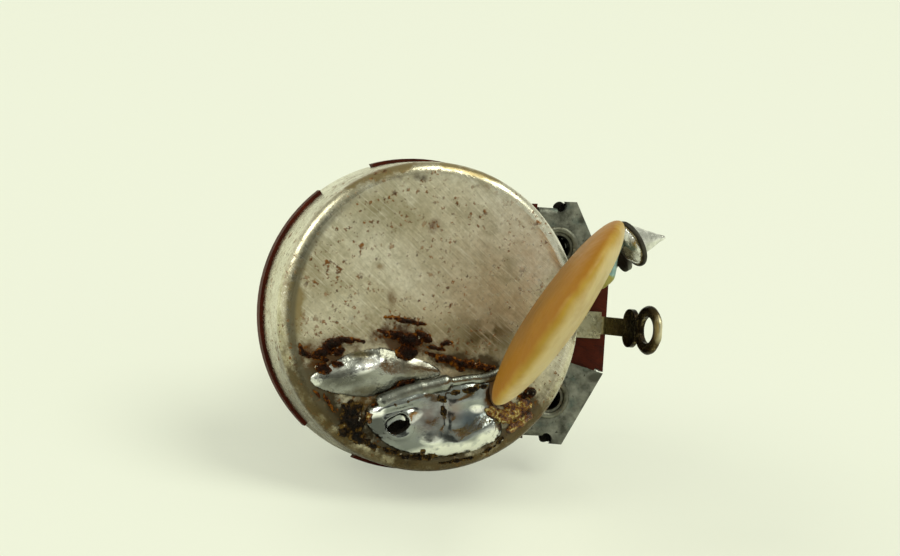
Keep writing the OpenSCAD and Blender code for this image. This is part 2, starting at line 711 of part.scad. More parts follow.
// Routes of the capacitor's leads, from inside the disc's coating: the first bends up to the lug's
// ring, and the second turns along the back of the can into the fresh solder
lead_inset = 1.2;
lead_lift = lead_d / 2 + 0.075;
lead_1_route = [disc_point(-30, cap_d / 2 - lead_inset), disc_point(-28, cap_d / 2 + 0.3),
                wire_ring + [-2.7, -1.8, -2.9], wire_ring + [-1.9, -1.5, -2.7], wire_ring + [-1.6, -1.2, -2],
                wire_ring + [-1.4, -0.8, -0.9], wire_ring + [-0.85, -0.4, 0.1], wire_ring + [-0.5, -0.2, 0.3]];
lead_2_route = concat([disc_point(37, cap_d / 2 - lead_inset), disc_point(34, cap_d / 2 + 0.3),
                       disc_point(30, cap_d / 2 + 1.3), on_back(fresh_at + [4.2, 3.3], 0.6)],
                      [for (p = [[2.4, 2.95], [0.2, 2.45], [-2.2, 1.7], [-4.2, 0.8]])
                        on_back(fresh_at + p, lead_lift)]);
module capacitor_lead_1() {
  color([0.55, 0.65, 0.58]) wire(open_curve(lead_1_route, 5), lead_d / 2, [0, 0, 1]);
}
module capacitor_lead_2() {
  color([0.7, 0.7, 0.66]) wire(open_curve(lead_2_route, 5), lead_d / 2, [0, 0, 1]);
}

// Mound of solder on the can's back inside an outline round its middle. Each lump lifts it near one
// spot by a share of its height, and is given as X and Z from the middle, a radius and that share.
function lumps_at(q, lumps) = 1 + [for (l = lumps) l[3] * exp(-pow(norm(q - [l[0], l[1]]) / l[2], 2))]
  * [for (l = lumps) 1];
module solder_mound(outline, middle, height, shape, lumps) {
  edge = 0.06;
  rings = [1, 0.93, 0.82, 0.66, 0.46, 0.24];
  rim = [for (p = closed_curve(outline, 4)) middle + p];
  n = len(rim);
  m = len(rings);
  top = [for (f = rings, p = rim) let (q = middle + f * (p - middle))
    on_back(q, edge + (height - edge) * pow(1 - pow(f, 2.2), shape) * lumps_at(q - middle, lumps))];
  base = [for (p = rim) on_back(p, 0)];
  points = concat(base, top, [on_back(middle, height * lumps_at([0, 0], lumps))]);
  polyhedron(points, concat([[for (k = [0:n - 1]) n - 1 - k]],
    [for (i = [0:m - 1], k = [0:n - 1])
      [i * n + k, i * n + (k + 1) % n, (i + 1) * n + (k + 1) % n, (i + 1) * n + k]],
    [for (k = [0:n - 1]) [m * n + k, m * n + (k + 1) % n, (m + 1) * n]]), convexity = 6);
}

// Outlines of the solder on the can's back, as X and Z from the middle of each
fresh_outline = [[-5.4, 0.1], [-4.8, 0.9], [-3.8, 1.4], [-1.9, 2.2], [0.4, 2.8], [2.7, 3.3], [4.2, 3.3],
                 [4.5, 1.7], [5.1, 0.6], [5.6, -0.5], [5.4, -1.4], [4.4, -2.1], [3, -2.7], [1.4, -3.1],
                 [-0.2, -3.1], [-1.9, -2.9], [-3.2, -2.5], [-4.3, -1.8], [-5.1, -1]];
old_outline = [[-4.8, -0.6], [-4, 0.1], [-2.6, 1], [-1.6, 1.5], [-0.4, 1.8], [0.8, 2], [2.1, 1.7],
               [4, 1.2], [5.4, 0.5], [5, -0.2], [2.8, -0.6], [1, -1.5], [-0.2, -1.9], [-1.6, -1.9],
               [-3.2, -1.7], [-4.4, -1.3]];
fresh_lumps = [[2.6, -1, 2, 0.35], [-3, -0.4, 1.7, 0.3], [0.6, 0.2, 0.9, -0.3], [2.6, 2.3, 1.2, 0.4]];
old_lumps = [[0.2, 0.3, 1.5, 0.6], [-2.6, -0.4, 1.2, 0.25], [2.6, 0.6, 1.2, 0.2]];
crater_at = fresh_at + [-2.95, -0.6];
crater_r = 0.62;

module fresh_solder() {
  color([0.78, 0.78, 0.76]) difference() {
    solder_mound(fresh_outline, fresh_at, fresh_h, 0.75, fresh_lumps);
    translate(on_back(crater_at, 0.15)) rotate([0, -28, 0]) for (x = [-0.5, 0, 0.5])
      translate([x * crater_r, 0, 0]) rotate([90, 0, 0]) cylinder(h = 3 * fresh_h, r = crater_r);
  }
}
module old_solder() {
  color([0.62, 0.61, 0.57]) solder_mound(old_outline, old_at, old_h, 0.8, old_lumps);
}

// Solder that fills the eye of the soldered lug, with a dome inside and a drawn-out point outside
module lug_solder() {
  dome_r = ring_d / 2 - 0.25;
  dome_rise = 0.7;
  dome_ball = (dome_r * dome_r + dome_rise * dome_rise) / (2 * dome_rise);
  cone_r = ring_d / 2 - 0.4;
  tip_r = 0.2;
  droop = 16;
  color([0.72, 0.72, 0.7]) along_shaft() translate([0, 0, wafer_back - lug_t]) on_slant(-1)
    after_fold(wire_angle) rotate([0, 0, -wire_lean]) translate([ring_at, 0, 0]) {
      cylinder(h = lug_t, r = eye_r);
      translate([0, 0, lug_t - 0.1]) rotate([-droop, 0, 0]) rotate_extrude() polygon(concat([[0, 0]],
        [for (i = [0:8]) let (t = i / 8) [cone_r * pow(1 - t, 1.2) + tip_r * t, icicle_len * t]],
        [[0, icicle_len + tip_r]]));
      intersection() {
        translate([0, 0, dome_ball - dome_rise]) sphere(dome_ball);
        translate([0, 0, -2 * dome_rise]) cylinder(h = 2 * dome_rise, r = 2 * dome_r);
      }
    }
}

can();
wafer();
resistive_track();
collector_ring();
terminal_1();
terminal_2();
terminal_3();
eyelet_1();
eyelet_2();
eyelet_3();
front_plate();
bushing();
shaft();
retaining_ring();
rotor();
wiper_spring();
capacitor();
capacitor_lead_1();
capacitor_lead_2();
lug_solder();
fresh_solder();
old_solder();
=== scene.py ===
import math
import bmesh
import bpy
from mathutils import Matrix, Vector, noise
from mathutils.bvhtree import BVHTree


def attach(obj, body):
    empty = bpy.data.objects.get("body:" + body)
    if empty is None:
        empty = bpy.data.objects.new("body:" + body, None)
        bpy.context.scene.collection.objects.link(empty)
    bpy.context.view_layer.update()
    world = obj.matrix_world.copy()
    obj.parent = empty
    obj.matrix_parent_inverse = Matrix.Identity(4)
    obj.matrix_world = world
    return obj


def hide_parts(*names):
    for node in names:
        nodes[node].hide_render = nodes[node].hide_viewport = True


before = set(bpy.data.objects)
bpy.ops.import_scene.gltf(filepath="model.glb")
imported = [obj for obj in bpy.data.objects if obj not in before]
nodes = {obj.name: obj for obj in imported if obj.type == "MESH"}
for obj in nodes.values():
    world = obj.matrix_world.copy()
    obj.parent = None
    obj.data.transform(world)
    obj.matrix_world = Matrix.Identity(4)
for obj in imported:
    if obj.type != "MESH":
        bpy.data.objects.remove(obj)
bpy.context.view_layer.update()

mm = 0.001
canBack = -9.0           # level of the can's back along Y, in mm
print("frame loaded:", len(nodes), "nodes")


def linearColour(hexText):
    # an sRGB hex value as the linear colour that Blender's sockets take
    parts = [int(hexText[k:k + 2], 16) / 255 for k in (1, 3, 5)]
    return [c / 12.92 if c <= 0.04045 else ((c + 0.055) / 1.055) ** 2.4 for c in parts] + [1.0]


def setSockets(tree, node, sockets):
    # each socket takes a link, a colour or a value
    for key, value in sockets.items():
        if isinstance(value, bpy.types.NodeSocket):
            tree.links.new(value, node.inputs[key])
        elif isinstance(value, str):
            node.inputs[key].default_value = linearColour(value)
        else:
            node.inputs[key].default_value = value


def addNode(tree, kind, sockets=None, output=0, stops=None, **settings):
    # one node with its settings, its sockets and the stops of a ramp; gives one output, or the node for None
    node = tree.nodes.new("ShaderNode" + kind)
    for key, value in settings.items():
        setattr(node, key, value)
    setSockets(tree, node, sockets or {})
    if stops:
        ramp = node.color_ramp
        while len(ramp.elements) < len(stops):
            ramp.elements.new(0.5)
        for element, (place, hue) in zip(ramp.elements, stops):
            element.position = place
            element.color = linearColour(hue)
    return node if output is None else node.outputs[output]


def newFinish(name):
    # an empty material with its shader, and the place of each point in the object's own frame
    finish = bpy.data.materials.new(name)
    finish.use_nodes = True
    tree = finish.node_tree
    tree.nodes.clear()
    shader = addNode(tree, "BsdfPrincipled", output=None)
    addNode(tree, "OutputMaterial", {"Surface": shader.outputs[0]}, output=None)
    return finish, tree, shader, addNode(tree, "TexCoord", output="Object")


def laidOver(tone, hue, mask, strength=None):
    # hue laid over tone where the mask is 1, in full or at a strength
    tree = mask.id_data
    if strength is not None:
        mask = addNode(tree, "Math", {0: mask, 1: strength}, operation="MULTIPLY")
    return addNode(tree, "Mix", {0: mask, 6: tone, 7: hue}, output=2, data_type="RGBA")


def cloud(place, sizeMm, low, high, detail=4.0, stretch=(1, 1, 1), turn=0.0, shift=(0, 0, 0)):
    # blotches about sizeMm across, from 0 to 1 between two levels of noise; stretch lengthens them
    # along the axes, which turn about Y by an angle in degrees
    tree = place.id_data
    spot = addNode(tree, "Mapping", {"Vector": place, "Location": Vector(shift) * mm,
                                     "Rotation": (0, math.radians(turn), 0), "Scale": stretch},
                   vector_type="TEXTURE")
    grain = addNode(tree, "TexNoise", {"Vector": spot, "Scale": 1 / (sizeMm * mm), "Detail": detail,
                                       "Roughness": 0.62})
    return addNode(tree, "MapRange", {"Value": grain, "From Min": low, "From Max": high})


def patch(place, centre, size, turn=0.0, soft=0.6):
    # 1 inside an oval, given in mm with its turn about Y in degrees, and 0 outside, with a soft edge
    tree = place.id_data
    spot = addNode(tree, "Mapping", {"Vector": place, "Location": Vector(centre) * mm,
                                     "Rotation": (0, math.radians(turn), 0), "Scale": Vector(size) * mm},
                   vector_type="TEXTURE")
    far = addNode(tree, "VectorMath", {0: spot}, output="Value", operation="LENGTH")
    return addNode(tree, "MapRange", {"Value": far, "From Min": 1.0, "From Max": 1.0 - soft})


def relief(shader, *layers):
    # bumps one over another, each with its height from 0 to 1, its depth in mm and its strength
    tree = shader.id_data
    sockets = {}
    for height, depthMm, strength in layers:
        sockets.update({"Height": height, "Distance": depthMm * mm, "Strength": strength})
        sockets["Normal"] = addNode(tree, "Bump", sockets)
    tree.links.new(sockets["Normal"], shader.inputs["Normal"])


def specks(place, cellMm, share, reach, seed):
    # small specks with ragged edges: at most one to a cell, up to reach cells in radius
    tree = place.id_data
    warp = addNode(tree, "TexNoise", {"Vector": place, "Scale": 2.2 / (cellMm * mm), "Detail": 3.0},
                   output="Color")
    moved = addNode(tree, "VectorMath", {0: warp, 1: (cellMm * 1.5 * mm,) * 3, 2: place},
                    operation="MULTIPLY_ADD")
    spot = addNode(tree, "Mapping", {"Vector": moved, "Location": Vector(seed) * mm})
    cell = addNode(tree, "TexVoronoi", {"Vector": spot, "Scale": 1 / (cellMm * mm)}, output=None,
                   feature="F1")
    chance = addNode(tree, "SeparateColor", {0: cell.outputs["Color"]})
    radius = addNode(tree, "MapRange",
                     {"Value": chance, "From Min": 1 - share, "From Max": 1.0, "To Max": reach})
    inside = addNode(tree, "Math", {0: radius, 1: cell.outputs["Distance"]}, operation="SUBTRACT")
    return addNode(tree, "MapRange", {"Value": inside, "From Max": 0.16})


def copyOf(name):
    # a merged copy of a CAD node's mesh
    shape = bmesh.new()
    shape.from_mesh(nodes[name].data)
    bmesh.ops.remove_doubles(shape, verts=shape.verts, dist=0.002 * mm)
    bmesh.ops.recalc_face_normals(shape, faces=shape.faces)
    return shape


def keepPiece(name, shape, finish, body, replaced=(), smooth=True):
    mesh = bpy.data.meshes.new(name)
    shape.to_mesh(mesh)
    shape.free()
    mesh.materials.append(finish)
    for face in mesh.polygons:
        face.use_smooth = smooth
    piece = bpy.data.objects.new(name, mesh)
    bpy.context.scene.collection.objects.link(piece)
    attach(piece, body)
    if replaced:
        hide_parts(*replaced)
    return piece


def remeshed(shape, voxelMm, smoothing=2):
    # one closed skin round everything in the shape
    mesh = bpy.data.meshes.new("remeshing")
    shape.to_mesh(mesh)
    shape.free()
    work = bpy.data.objects.new("remeshing", mesh)
    bpy.context.scene.collection.objects.link(work)
    skin = work.modifiers.new("skin", "REMESH")
    skin.mode = "VOXEL"
    skin.voxel_size = voxelMm * mm
    done = bpy.data.meshes.new_from_object(work.evaluated_get(bpy.context.evaluated_depsgraph_get()))
    bpy.data.objects.remove(work)
    shape = bmesh.new()
    shape.from_mesh(done)
    bpy.data.meshes.remove(done)
    for _ in range(smoothing):
        bmesh.ops.smooth_vert(shape, verts=shape.verts, factor=0.5, use_axis_x=True, use_axis_y=True,
                              use_axis_z=True)
    shape.normal_update()
    return shape


def unevenSkin(shape, often, high):
    # shallow waves along the normals, given as waves to a mm and their height in mm
    for v in shape.verts:
        v.co += v.normal * noise.noise(v.co / mm * often) * high * mm


def dress(name, finish):
    # a CAD node keeps its shape and gets its finish
    slots = nodes[name].material_slots
    if not slots:
        nodes[name].data.materials.append(finish)
    for slot in slots:
        slot.material = finish


def stepped(value):
    # 0 to 1 with soft ends
    value = min(max(value, 0.0), 1.0)
    return value * value * (3 - 2 * value)


def alongLine(p, a, b, width):
    # 1 on the line from a to b, falling off over its width; points are X and Z in mm
    d = (b[0] - a[0], b[1] - a[1])
    t = ((p.x - a[0]) * d[0] + (p.z - a[1]) * d[1]) / (d[0] * d[0] + d[1] * d[1])
    t = min(max(t, 0.0), 1.0)
    far = math.hypot(p.x - a[0] - t * d[0], p.z - a[1] - t * d[1])
    return math.exp(-(far / width) ** 2)


cameraLook = {"azimuth": 14.0, "elevation": 1.3, "roll": -3.7, "distance": 270.0,
              "target": (0, -9.0, 0), "focalPixels": 3529.0, "targetPixel": (431.3, 317.1)}


def placeCamera(look):
    az, el, roll = (math.radians(look[k]) for k in ("azimuth", "elevation", "roll"))
    ahead = Vector((math.sin(az) * math.cos(el), math.cos(az) * math.cos(el), -math.sin(el)))
    side = Vector((math.cos(az), -math.sin(az), 0))
    up = Vector((math.sin(az) * math.sin(el), math.cos(az) * math.sin(el), math.cos(el)))
    right = side * math.cos(roll) - up * math.sin(roll)
    above = up * math.cos(roll) + side * math.sin(roll)
    lens = bpy.data.cameras.new("photoCamera")
    lens.sensor_fit = "HORIZONTAL"
    lens.sensor_width = 36.0
    lens.lens = look["focalPixels"] * 36.0 / 900
    lens.shift_x = (450 - look["targetPixel"][0]) / 900
    lens.shift_y = (look["targetPixel"][1] - 278) / 900
    lens.clip_start = 0.01
    camera = bpy.data.objects.new("photoCamera", lens)
    spot = (Vector(look["target"]) - ahead * look["distance"]) * mm
    camera.matrix_world = Matrix.Translation(spot) @ Matrix((right, above, -ahead)).transposed().to_4x4()
    bpy.context.scene.collection.objects.link(camera)
    bpy.context.scene.camera = camera
    bpy.context.scene.view_settings.view_transform = "Standard"


placeCamera(cameraLook)
print("camera placed")

canLook = {
    "plate": "#cfc6ab", "bright": "#e8e1cb", "rust": "#85500f", "darkRust": "#43210a", "fleck": "#fffbe8",
    "smudge": "#8b8160", "scratch": "#fffcee", "darkScratch": "#8d8466", "grain": "#8f8765",
    # line and lineR: colour and radius of a painted dark reflection line inside the left fillet
    "line": "#625d4b", "bloom": "#5b4b2b", "scratchTurn": 37.0, "lineR": 10.85, "rimR": 10.3,
    "roughness": 0.47,
    # specks of rust: cell in mm, share of cells, reach in cells, seed, and their least and most strength
    "specks": [(0.36, 1.0, 0.50, (0, 0, 0), 0.10, 0.9), (0.80, 0.62, 0.42, (2, 1, 4), 0.3, 0.95),
               (1.9, 0.22, 0.26, (1, 3, 2), 0.85, 0.85)],
    # listed tones on the back: middle, half sizes, turn, strength and colour
    # the first three are painted sheen: painted light on the upper right and along the scratched band
    "tones": [((7.0, -9, 7.2), (6.5, 9, 3.8), 40, 1.2, "#f8f5e6"),
              ((-2.9, -9, 3.6), (6.5, 9, 2.4), 40, 1.0, "#fffbea"),
              ((9.0, -9, 4.6), (3.0, 9, 3.6), 50, 1.3, "#faf8ee"),
              ((-4.5, -9, 7.6), (5.0, 9, 2.4), -30, 0.6, "#a39b7c"),
              # a painted shadow of the capacitor, with its dark reflection, beside the disc
              ((4.2, -9, -1.4), (4.8, 9, 2.8), -10, 1.0, "#635b3e"),
              ((-9.2, -9, 2.2), (1.5, 3, 2.6), 5, 0.45, "#8b7750"),
              ((-3.0, -9, -1.4), (5.0, 4, 2.2), 6, 0.5, "#8a774a"),
              ((5.5, -9, -4.4), (4.0, 4, 0.9), 0, 0.7, "#57492c")],
    # grime with torn edges: middle, half sizes, turn and colour
    "grime": [((-8.6, -9, -6.2), (5.0, 4, 2.0), 46, "#40361f"),
              ((-5.9, -9, -8.4), (3.0, 4, 3.0), 0, "#2c2312"),
              ((-2.6, -9, -10.2), (3.4, 4, 1.3), 18, "#2e240f"),
              ((1.4, -9, -11.0), (5.5, 4, 1.3), -4, "#2a2010"),
              ((7.4, -9, -8.0), (5.0, 4, 2.2), -45, "#3c2c10"),
              ((-3.2, -9, -6.2), (3.4, 4, 1.5), -25, "#5a4018"),
              ((-2.2, -9, -1.9), (3.2, 4, 1.6), 6, "#4a2c10"),
              ((-8.0, -9, -3.2), (3.0, 4, 1.3), -10, "#5a3a18"),
              ((3.4, -9, -3.3), (5.0, 4, 1.0), 4, "#3f2f18"), ((-10.6, -9, 0.4), (0.9, 4, 3.4), 0, "#8b7a52"),
              ((5.2, -9, -5.4), (1.5, 4, 1.5), 0, "#54330f"),
              ((-4.0, -9, 10.9), (6.0, 4, 0.6), -22, "#7d6b44"),
              ((2.0, -9, 11.4), (5.0, 4, 0.4), 10, "#8b7a52")],
    # small stains: middle, half sizes, turn, strength and colour
    "stains": [((-3.2, -9, 1.2), (0.45, 3, 1.1), -8, 0.9, "#6e4c1c"),
               ((-4.3, -9, 3.6), (0.5, 3, 0.35), 0, 0.7, "#87652e"),
               ((-1.55, -9, 10.6), (0.75, 3, 0.42), 10, 0.9, "#34211a"),
               ((-3.35, -9, 10.4), (0.5, 3, 0.3), 0, 0.8, "#4a2a1a"),
               ((-0.2, -9, 7.0), (0.6, 3, 0.8), 25, 0.75, "#633a26"),
               ((-6.3, -9, -0.4), (0.5, 3, 0.25), 0, 0.5, "#5d5547")]}


def marked(place, tone, marks, soft, ragged=None):
    # marks given one by one: middle, half sizes, turn, strength and colour of each, and how ragged they are
    for centre, size, turn, amount, hue in marks:
        mark = patch(place, centre, size, turn, soft)
        if ragged is not None:
            mark = addNode(place.id_data, "Math", {0: mark, 1: ragged}, operation="MULTIPLY")
        tone = laidOver(tone, hue, mark, amount)
    return tone


def plateTone(place, look, ragged):
    # the plating's clouds, the listed tones, pale flecks and gray smudges
    tree = place.id_data
    tone = laidOver(look["plate"], look["bright"], cloud(place, 7, 0.38, 0.64, detail=5))
    worn = addNode(tree, "MapRange", {"Value": ragged, "To Min": 0.55, "To Max": 1.0})
    # the listed tones include painted sheen, and a painted shadow of the capacitor with its dark reflection
    tone = marked(place, tone, look["tones"], 0.8, worn)
    tone = laidOver(tone, look["fleck"], cloud(place, 1.3, 0.50, 0.66, detail=5, shift=(2, 6, 1)), 0.45)
    return laidOver(tone, look["smudge"], cloud(place, 2.0, 0.50, 0.70, detail=7), 0.6)


def scouredTone(place, look, tone, hairs):
    # pale and dark scratches, stronger in some places than in others, and a fine grain
    tree = place.id_data
    scoured = cloud(place, 4.5, 0.36, 0.62, detail=3, shift=(1, 4, 2))
    pale = addNode(tree, "MapRange", {"Value": scoured, "To Min": 0.2, "To Max": 0.9})
    dark = addNode(tree, "MapRange", {"Value": scoured, "To Min": 0.12, "To Max": 0.50})
    fine = cloud(place, 0.09, 0.50, 0.72, detail=2, stretch=(22, 1, 1), turn=look["scratchTurn"] + 6,
                 shift=(5, 2, 1))
    tone = laidOver(tone, look["scratch"], hairs, pale)
    tone = laidOver(tone, look["darkScratch"], fine, dark)
    return laidOver(tone, look["grain"], cloud(place, 0.26, 0.35, 0.65, detail=4), 0.30)


def grimeOver(place, look, tone):
    # grime with torn edges, and the mask of where it lies
    tree = place.id_data
    dirt = None
    torn = cloud(place, 1.1, 0.36, 0.64, detail=7, shift=(4, 2, 7))
    torn = addNode(tree, "MapRange", {"Value": torn, "To Min": -0.42, "To Max": 0.42})
    for centre, size, turn, hue in look["grime"]:
        oval = patch(place, centre, size, turn, 0.9)
        level = addNode(tree, "Math", {0: oval, 1: torn}, operation="ADD")
        mark = addNode(tree, "MapRange",
                       {"Value": level, "From Min": -0.10, "From Max": 0.62, "To Max": 0.92})
        bound = patch(place, centre, Vector(size) * 1.4, turn, 0.5)
        mark = addNode(tree, "Math", {0: mark, 1: bound}, operation="MULTIPLY")
        tone = laidOver(tone, hue, mark)
        dirt = mark if dirt is None else addNode(tree, "Math", {0: dirt, 1: mark}, operation="MAXIMUM")
    return tone, dirt


def rustMask(place, look):
    # rust in specks of three sizes, thick in some places and thin in others
    tree = place.id_data
    rust = None
    thick = cloud(place, 2.6, 0.38, 0.56, detail=3)
    for cellMm, share, reach, seed, least, most in look["specks"]:
        amount = addNode(tree, "MapRange", {"Value": thick, "To Min": least, "To Max": most})
        grains = addNode(tree, "Math", {0: specks(place, cellMm, share, reach, seed), 1: amount},
                         operation="MULTIPLY")
        rust = grains if rust is None else addNode(tree, "Math", {0: rust, 1: grains}, operation="MAXIMUM")
    return rust


def rimTones(place, look, tone, far):
    # the fillet's inner edge at the left with a painted dark line, a painted reflection of the dark room, and
    # a brown bloom of flux round the low rim
    tree = place.id_data
    axes = addNode(tree, "SeparateXYZ", {0: place}, output=None)
    left = addNode(tree, "MapRange",
                   {"Value": axes.outputs[0], "From Min": -5.5 * mm, "From Max": -10.0 * mm})
    away = addNode(tree, "Math", {0: far, 1: look["lineR"] * mm}, operation="SUBTRACT")
    away = addNode(tree, "Math", {0: away, 1: 0.0}, operation="ABSOLUTE")
    line = addNode(tree, "MapRange", {"Value": away, "From Min": 0.38 * mm, "From Max": 0.12 * mm})
    line = addNode(tree, "Math", {0: line, 1: left}, operation="MULTIPLY")
    # painted reflection: the dark line inside the left fillet
    tone = laidOver(tone, look["line"], line, 0.75)
    rim = addNode(tree, "MapRange", {"Value": far, "From Min": look["rimR"] * mm, "From Max": 11.7 * mm})
    low = addNode(tree, "MapRange", {"Value": axes.outputs[2], "From Min": 0.0, "From Max": -9.0 * mm})
    bloom = addNode(tree, "Math", {0: rim, 1: low}, operation="MULTIPLY")
    bloom = addNode(tree, "Math", {0: bloom, 1: cloud(place, 1.4, 0.16, 0.52, detail=5)},
                    operation="MULTIPLY")
    return laidOver(tone, look["bloom"], bloom, 0.85)


def plateSteel(look):
    # Drawn steel with a thin bright plating, scoured on its back and tarnished with age:
    # a soft metallic sheen with fine slanting scratches, red-brown specks of rust and brown flux stains
    finish, tree, shader, place = newFinish("tarnished plated drawn steel")
    ragged = cloud(place, 0.9, 0.30, 0.62, detail=6)
    # the scratches are about 0.05 mm wide, drawn at 0.1 mm so that they show
    hairs = cloud(place, 0.10, 0.54, 0.70, detail=2, stretch=(30, 1, 1), turn=look["scratchTurn"])
    tone = plateTone(place, look, ragged)
    tone = scouredTone(place, look, tone, hairs)
    tone, dirt = grimeOver(place, look, tone)
    tone = marked(place, tone, look["stains"], 0.7, ragged)
    rust = rustMask(place, look)
    rustTone = laidOver(look["rust"], look["darkRust"], cloud(place, 0.45, 0.40, 0.60, detail=3))
    tone = laidOver(tone, rustTone, rust)
    flat = addNode(tree, "Mapping", {"Vector": place, "Scale": (1, 0, 1)})
    far = addNode(tree, "VectorMath", {0: flat}, output="Value", operation="LENGTH")
    tone = rimTones(place, look, tone, far)
    # rust and dirt aren't metal, rust is rougher, and the bright rim is smoother
    soiled = addNode(tree, "Math", {0: dirt, 1: 0.7}, operation="MULTIPLY")
    soiled = addNode(tree, "Math", {0: rust, 1: soiled}, operation="MAXIMUM")
    metal = addNode(tree, "MapRange", {"Value": soiled, "To Min": 1.0, "To Max": 0.25})
    gloss = addNode(tree, "MapRange", {"Value": cloud(place, 2.0, 0.3, 0.7),
                                       "To Min": look["roughness"] - 0.06,
                                       "To Max": look["roughness"] + 0.10})
    edge = addNode(tree, "MapRange", {"Value": far, "From Min": look["rimR"] * mm, "From Max": 11.1 * mm,
                                      "To Max": -0.24})
    gloss = addNode(tree, "Math", {0: gloss, 1: edge}, operation="ADD")
    rougher = addNode(tree, "Math", {0: rust, 1: 0.35}, operation="MULTIPLY")
    gloss = addNode(tree, "Math", {0: gloss, 1: rougher}, operation="ADD")
    setSockets(tree, shader,
               {"Base Color": tone, "Metallic": metal, "Roughness": gloss, "Specular IOR Level": 0.2})
    relief(shader, (hairs, 0.006, 0.6), (cloud(place, 5.0, 0.2, 0.8, detail=2), 0.10, 0.5),
           (rust, 0.015, 0.4))
    return finish


dress("can", plateSteel(canLook))
print("can dressed")

boardLook = {"face": "#3f1206", "light": "#541d0b", "fibre": "#260b04", "residue": "#0e0905",
             "reliefs": [(11.4, -2.7, 9.3), (11.4, -2.7, -9.3)]}


def phenolicBoard(look):
    # Paper phenolic, punched from sheet: dark red-brown, faintly glossy faces with fibres, rough darker edges
    finish, tree, shader, place = newFinish("punched paper phenolic")
    tone = laidOver(look["face"], look["light"], cloud(place, 1.8, 0.35, 0.68, detail=5))
    fibre = cloud(place, 0.16, 0.50, 0.68, detail=3, stretch=(7, 1, 1), turn=20)
    layer = cloud(place, 0.14, 0.45, 0.62, detail=2, stretch=(12, 1, 12))
    tone = laidOver(tone, look["fibre"], fibre, 0.45)
    tone = laidOver(tone, look["fibre"], layer, 0.4)
    for spot in look["reliefs"]:
        tone = laidOver(tone, look["residue"], patch(place, spot, (0.9, 0.9, 0.9), 0, 0.3))
    setSockets(tree, shader, {"Base Color": tone, "Roughness": 0.55, "Specular IOR Level": 0.12})
    relief(shader, (fibre, 0.012, 0.6))
    return finish


def dullTin(name, look):
    # Tin plate that has oxidised: gray, cloudy, dull metal with dark spots and a green-blue bloom
    finish, tree, shader, place = newFinish(name)
    tone = laidOver(look["dark"], look["light"], cloud(place, 1.1, 0.35, 0.65, detail=6))
    tone = laidOver(tone, look["bloom"], cloud(place, 1.6, 0.54, 0.72, detail=4, shift=(5, 0, 1)), 0.7)
    tone = laidOver(tone, look["spot"], cloud(place, 0.4, 0.62, 0.72, detail=4))
    tone = marked(place, tone, look.get("marks", ()), 0.5)
    gloss = addNode(tree, "MapRange", {"Value": cloud(place, 0.8, 0.3, 0.7),
                                       "To Min": look["rough"] - 0.08, "To Max": look["rough"] + 0.12})
    setSockets(tree, shader, {"Base Color": tone, "Metallic": look["metal"], "Roughness": gloss})
    relief(shader, (cloud(place, 0.35, 0.3, 0.7, detail=4), 0.03, 0.7))
    return finish


cornerLook = {"dark": "#4d4e46", "light": "#94958a", "bloom": "#5a6d68", "spot": "#25251f", "rough": 0.50,
              "metal": 0.85,
              "marks": [((11.4, -3.1, 9.6), (0.8, 1.0, 0.7), 0, 0.9, "#15130f"),
                        ((11.4, -3.1, -9.6), (0.8, 1.0, 0.7), 0, 0.9, "#15130f"),
                        ((15.4, -9.6, 6.6), (2.6, 2.6, 2.6), 0, 1.6, "#2a231a"),
                        ((14.6, -7.2, 5.2), (1.7, 2.2, 1.6), 0, 1.6, "#241b13"),
                        ((15.1, -3.2, -4.2), (0.9, 1.6, 0.45), 0, 1.0, "#55554c")]}
ringTin = {"dark": "#4a3b22", "light": "#b3a47e", "bloom": "#efe8cf", "spot": "#1c140c", "rough": 0.24,
           "metal": 1.0}
eyeletLook = {"dark": "#5a594d", "light": "#86867a", "bloom": "#6c563a", "spot": "#2b2318", "rough": 0.42,
              "metal": 0.95,
              # painted shade: dark in the bore of each eyelet
              "marks": [((11.3, -3.5, z), (1.2, 40, 1.2), 0, 1.0, "#1a140d") for z in (-5.9, 0, 5.9)]}
frontLook = {"dark": "#9d9988", "light": "#bdb8a5", "bloom": "#857858", "spot": "#56492f", "rough": 0.36,
             "metal": 1.0}
lugLook = {"start": (13.6, -3.3, 0), "end": (17.3, -11.8, 0), "roughness": 0.32, "dark": "#2a2012",
           "pale": "#9c8e66",
           "tones": [(0.03, "#bdb89b"), (0.10, "#a9a17f"), (0.17, "#75694b"), (0.45, "#4b3d26"),
                     (0.53, "#1c150d"), (0.66, "#17110b"), (0.80, "#2c2317"), (1.0, "#54482f")],
           # edge: a painted highlight on the ring's right edge: middle, half sizes and colour
           "edge": ((17.75, -11.9, 0.2), (1.0, 0.9, 1.5), "#d6cdac")}


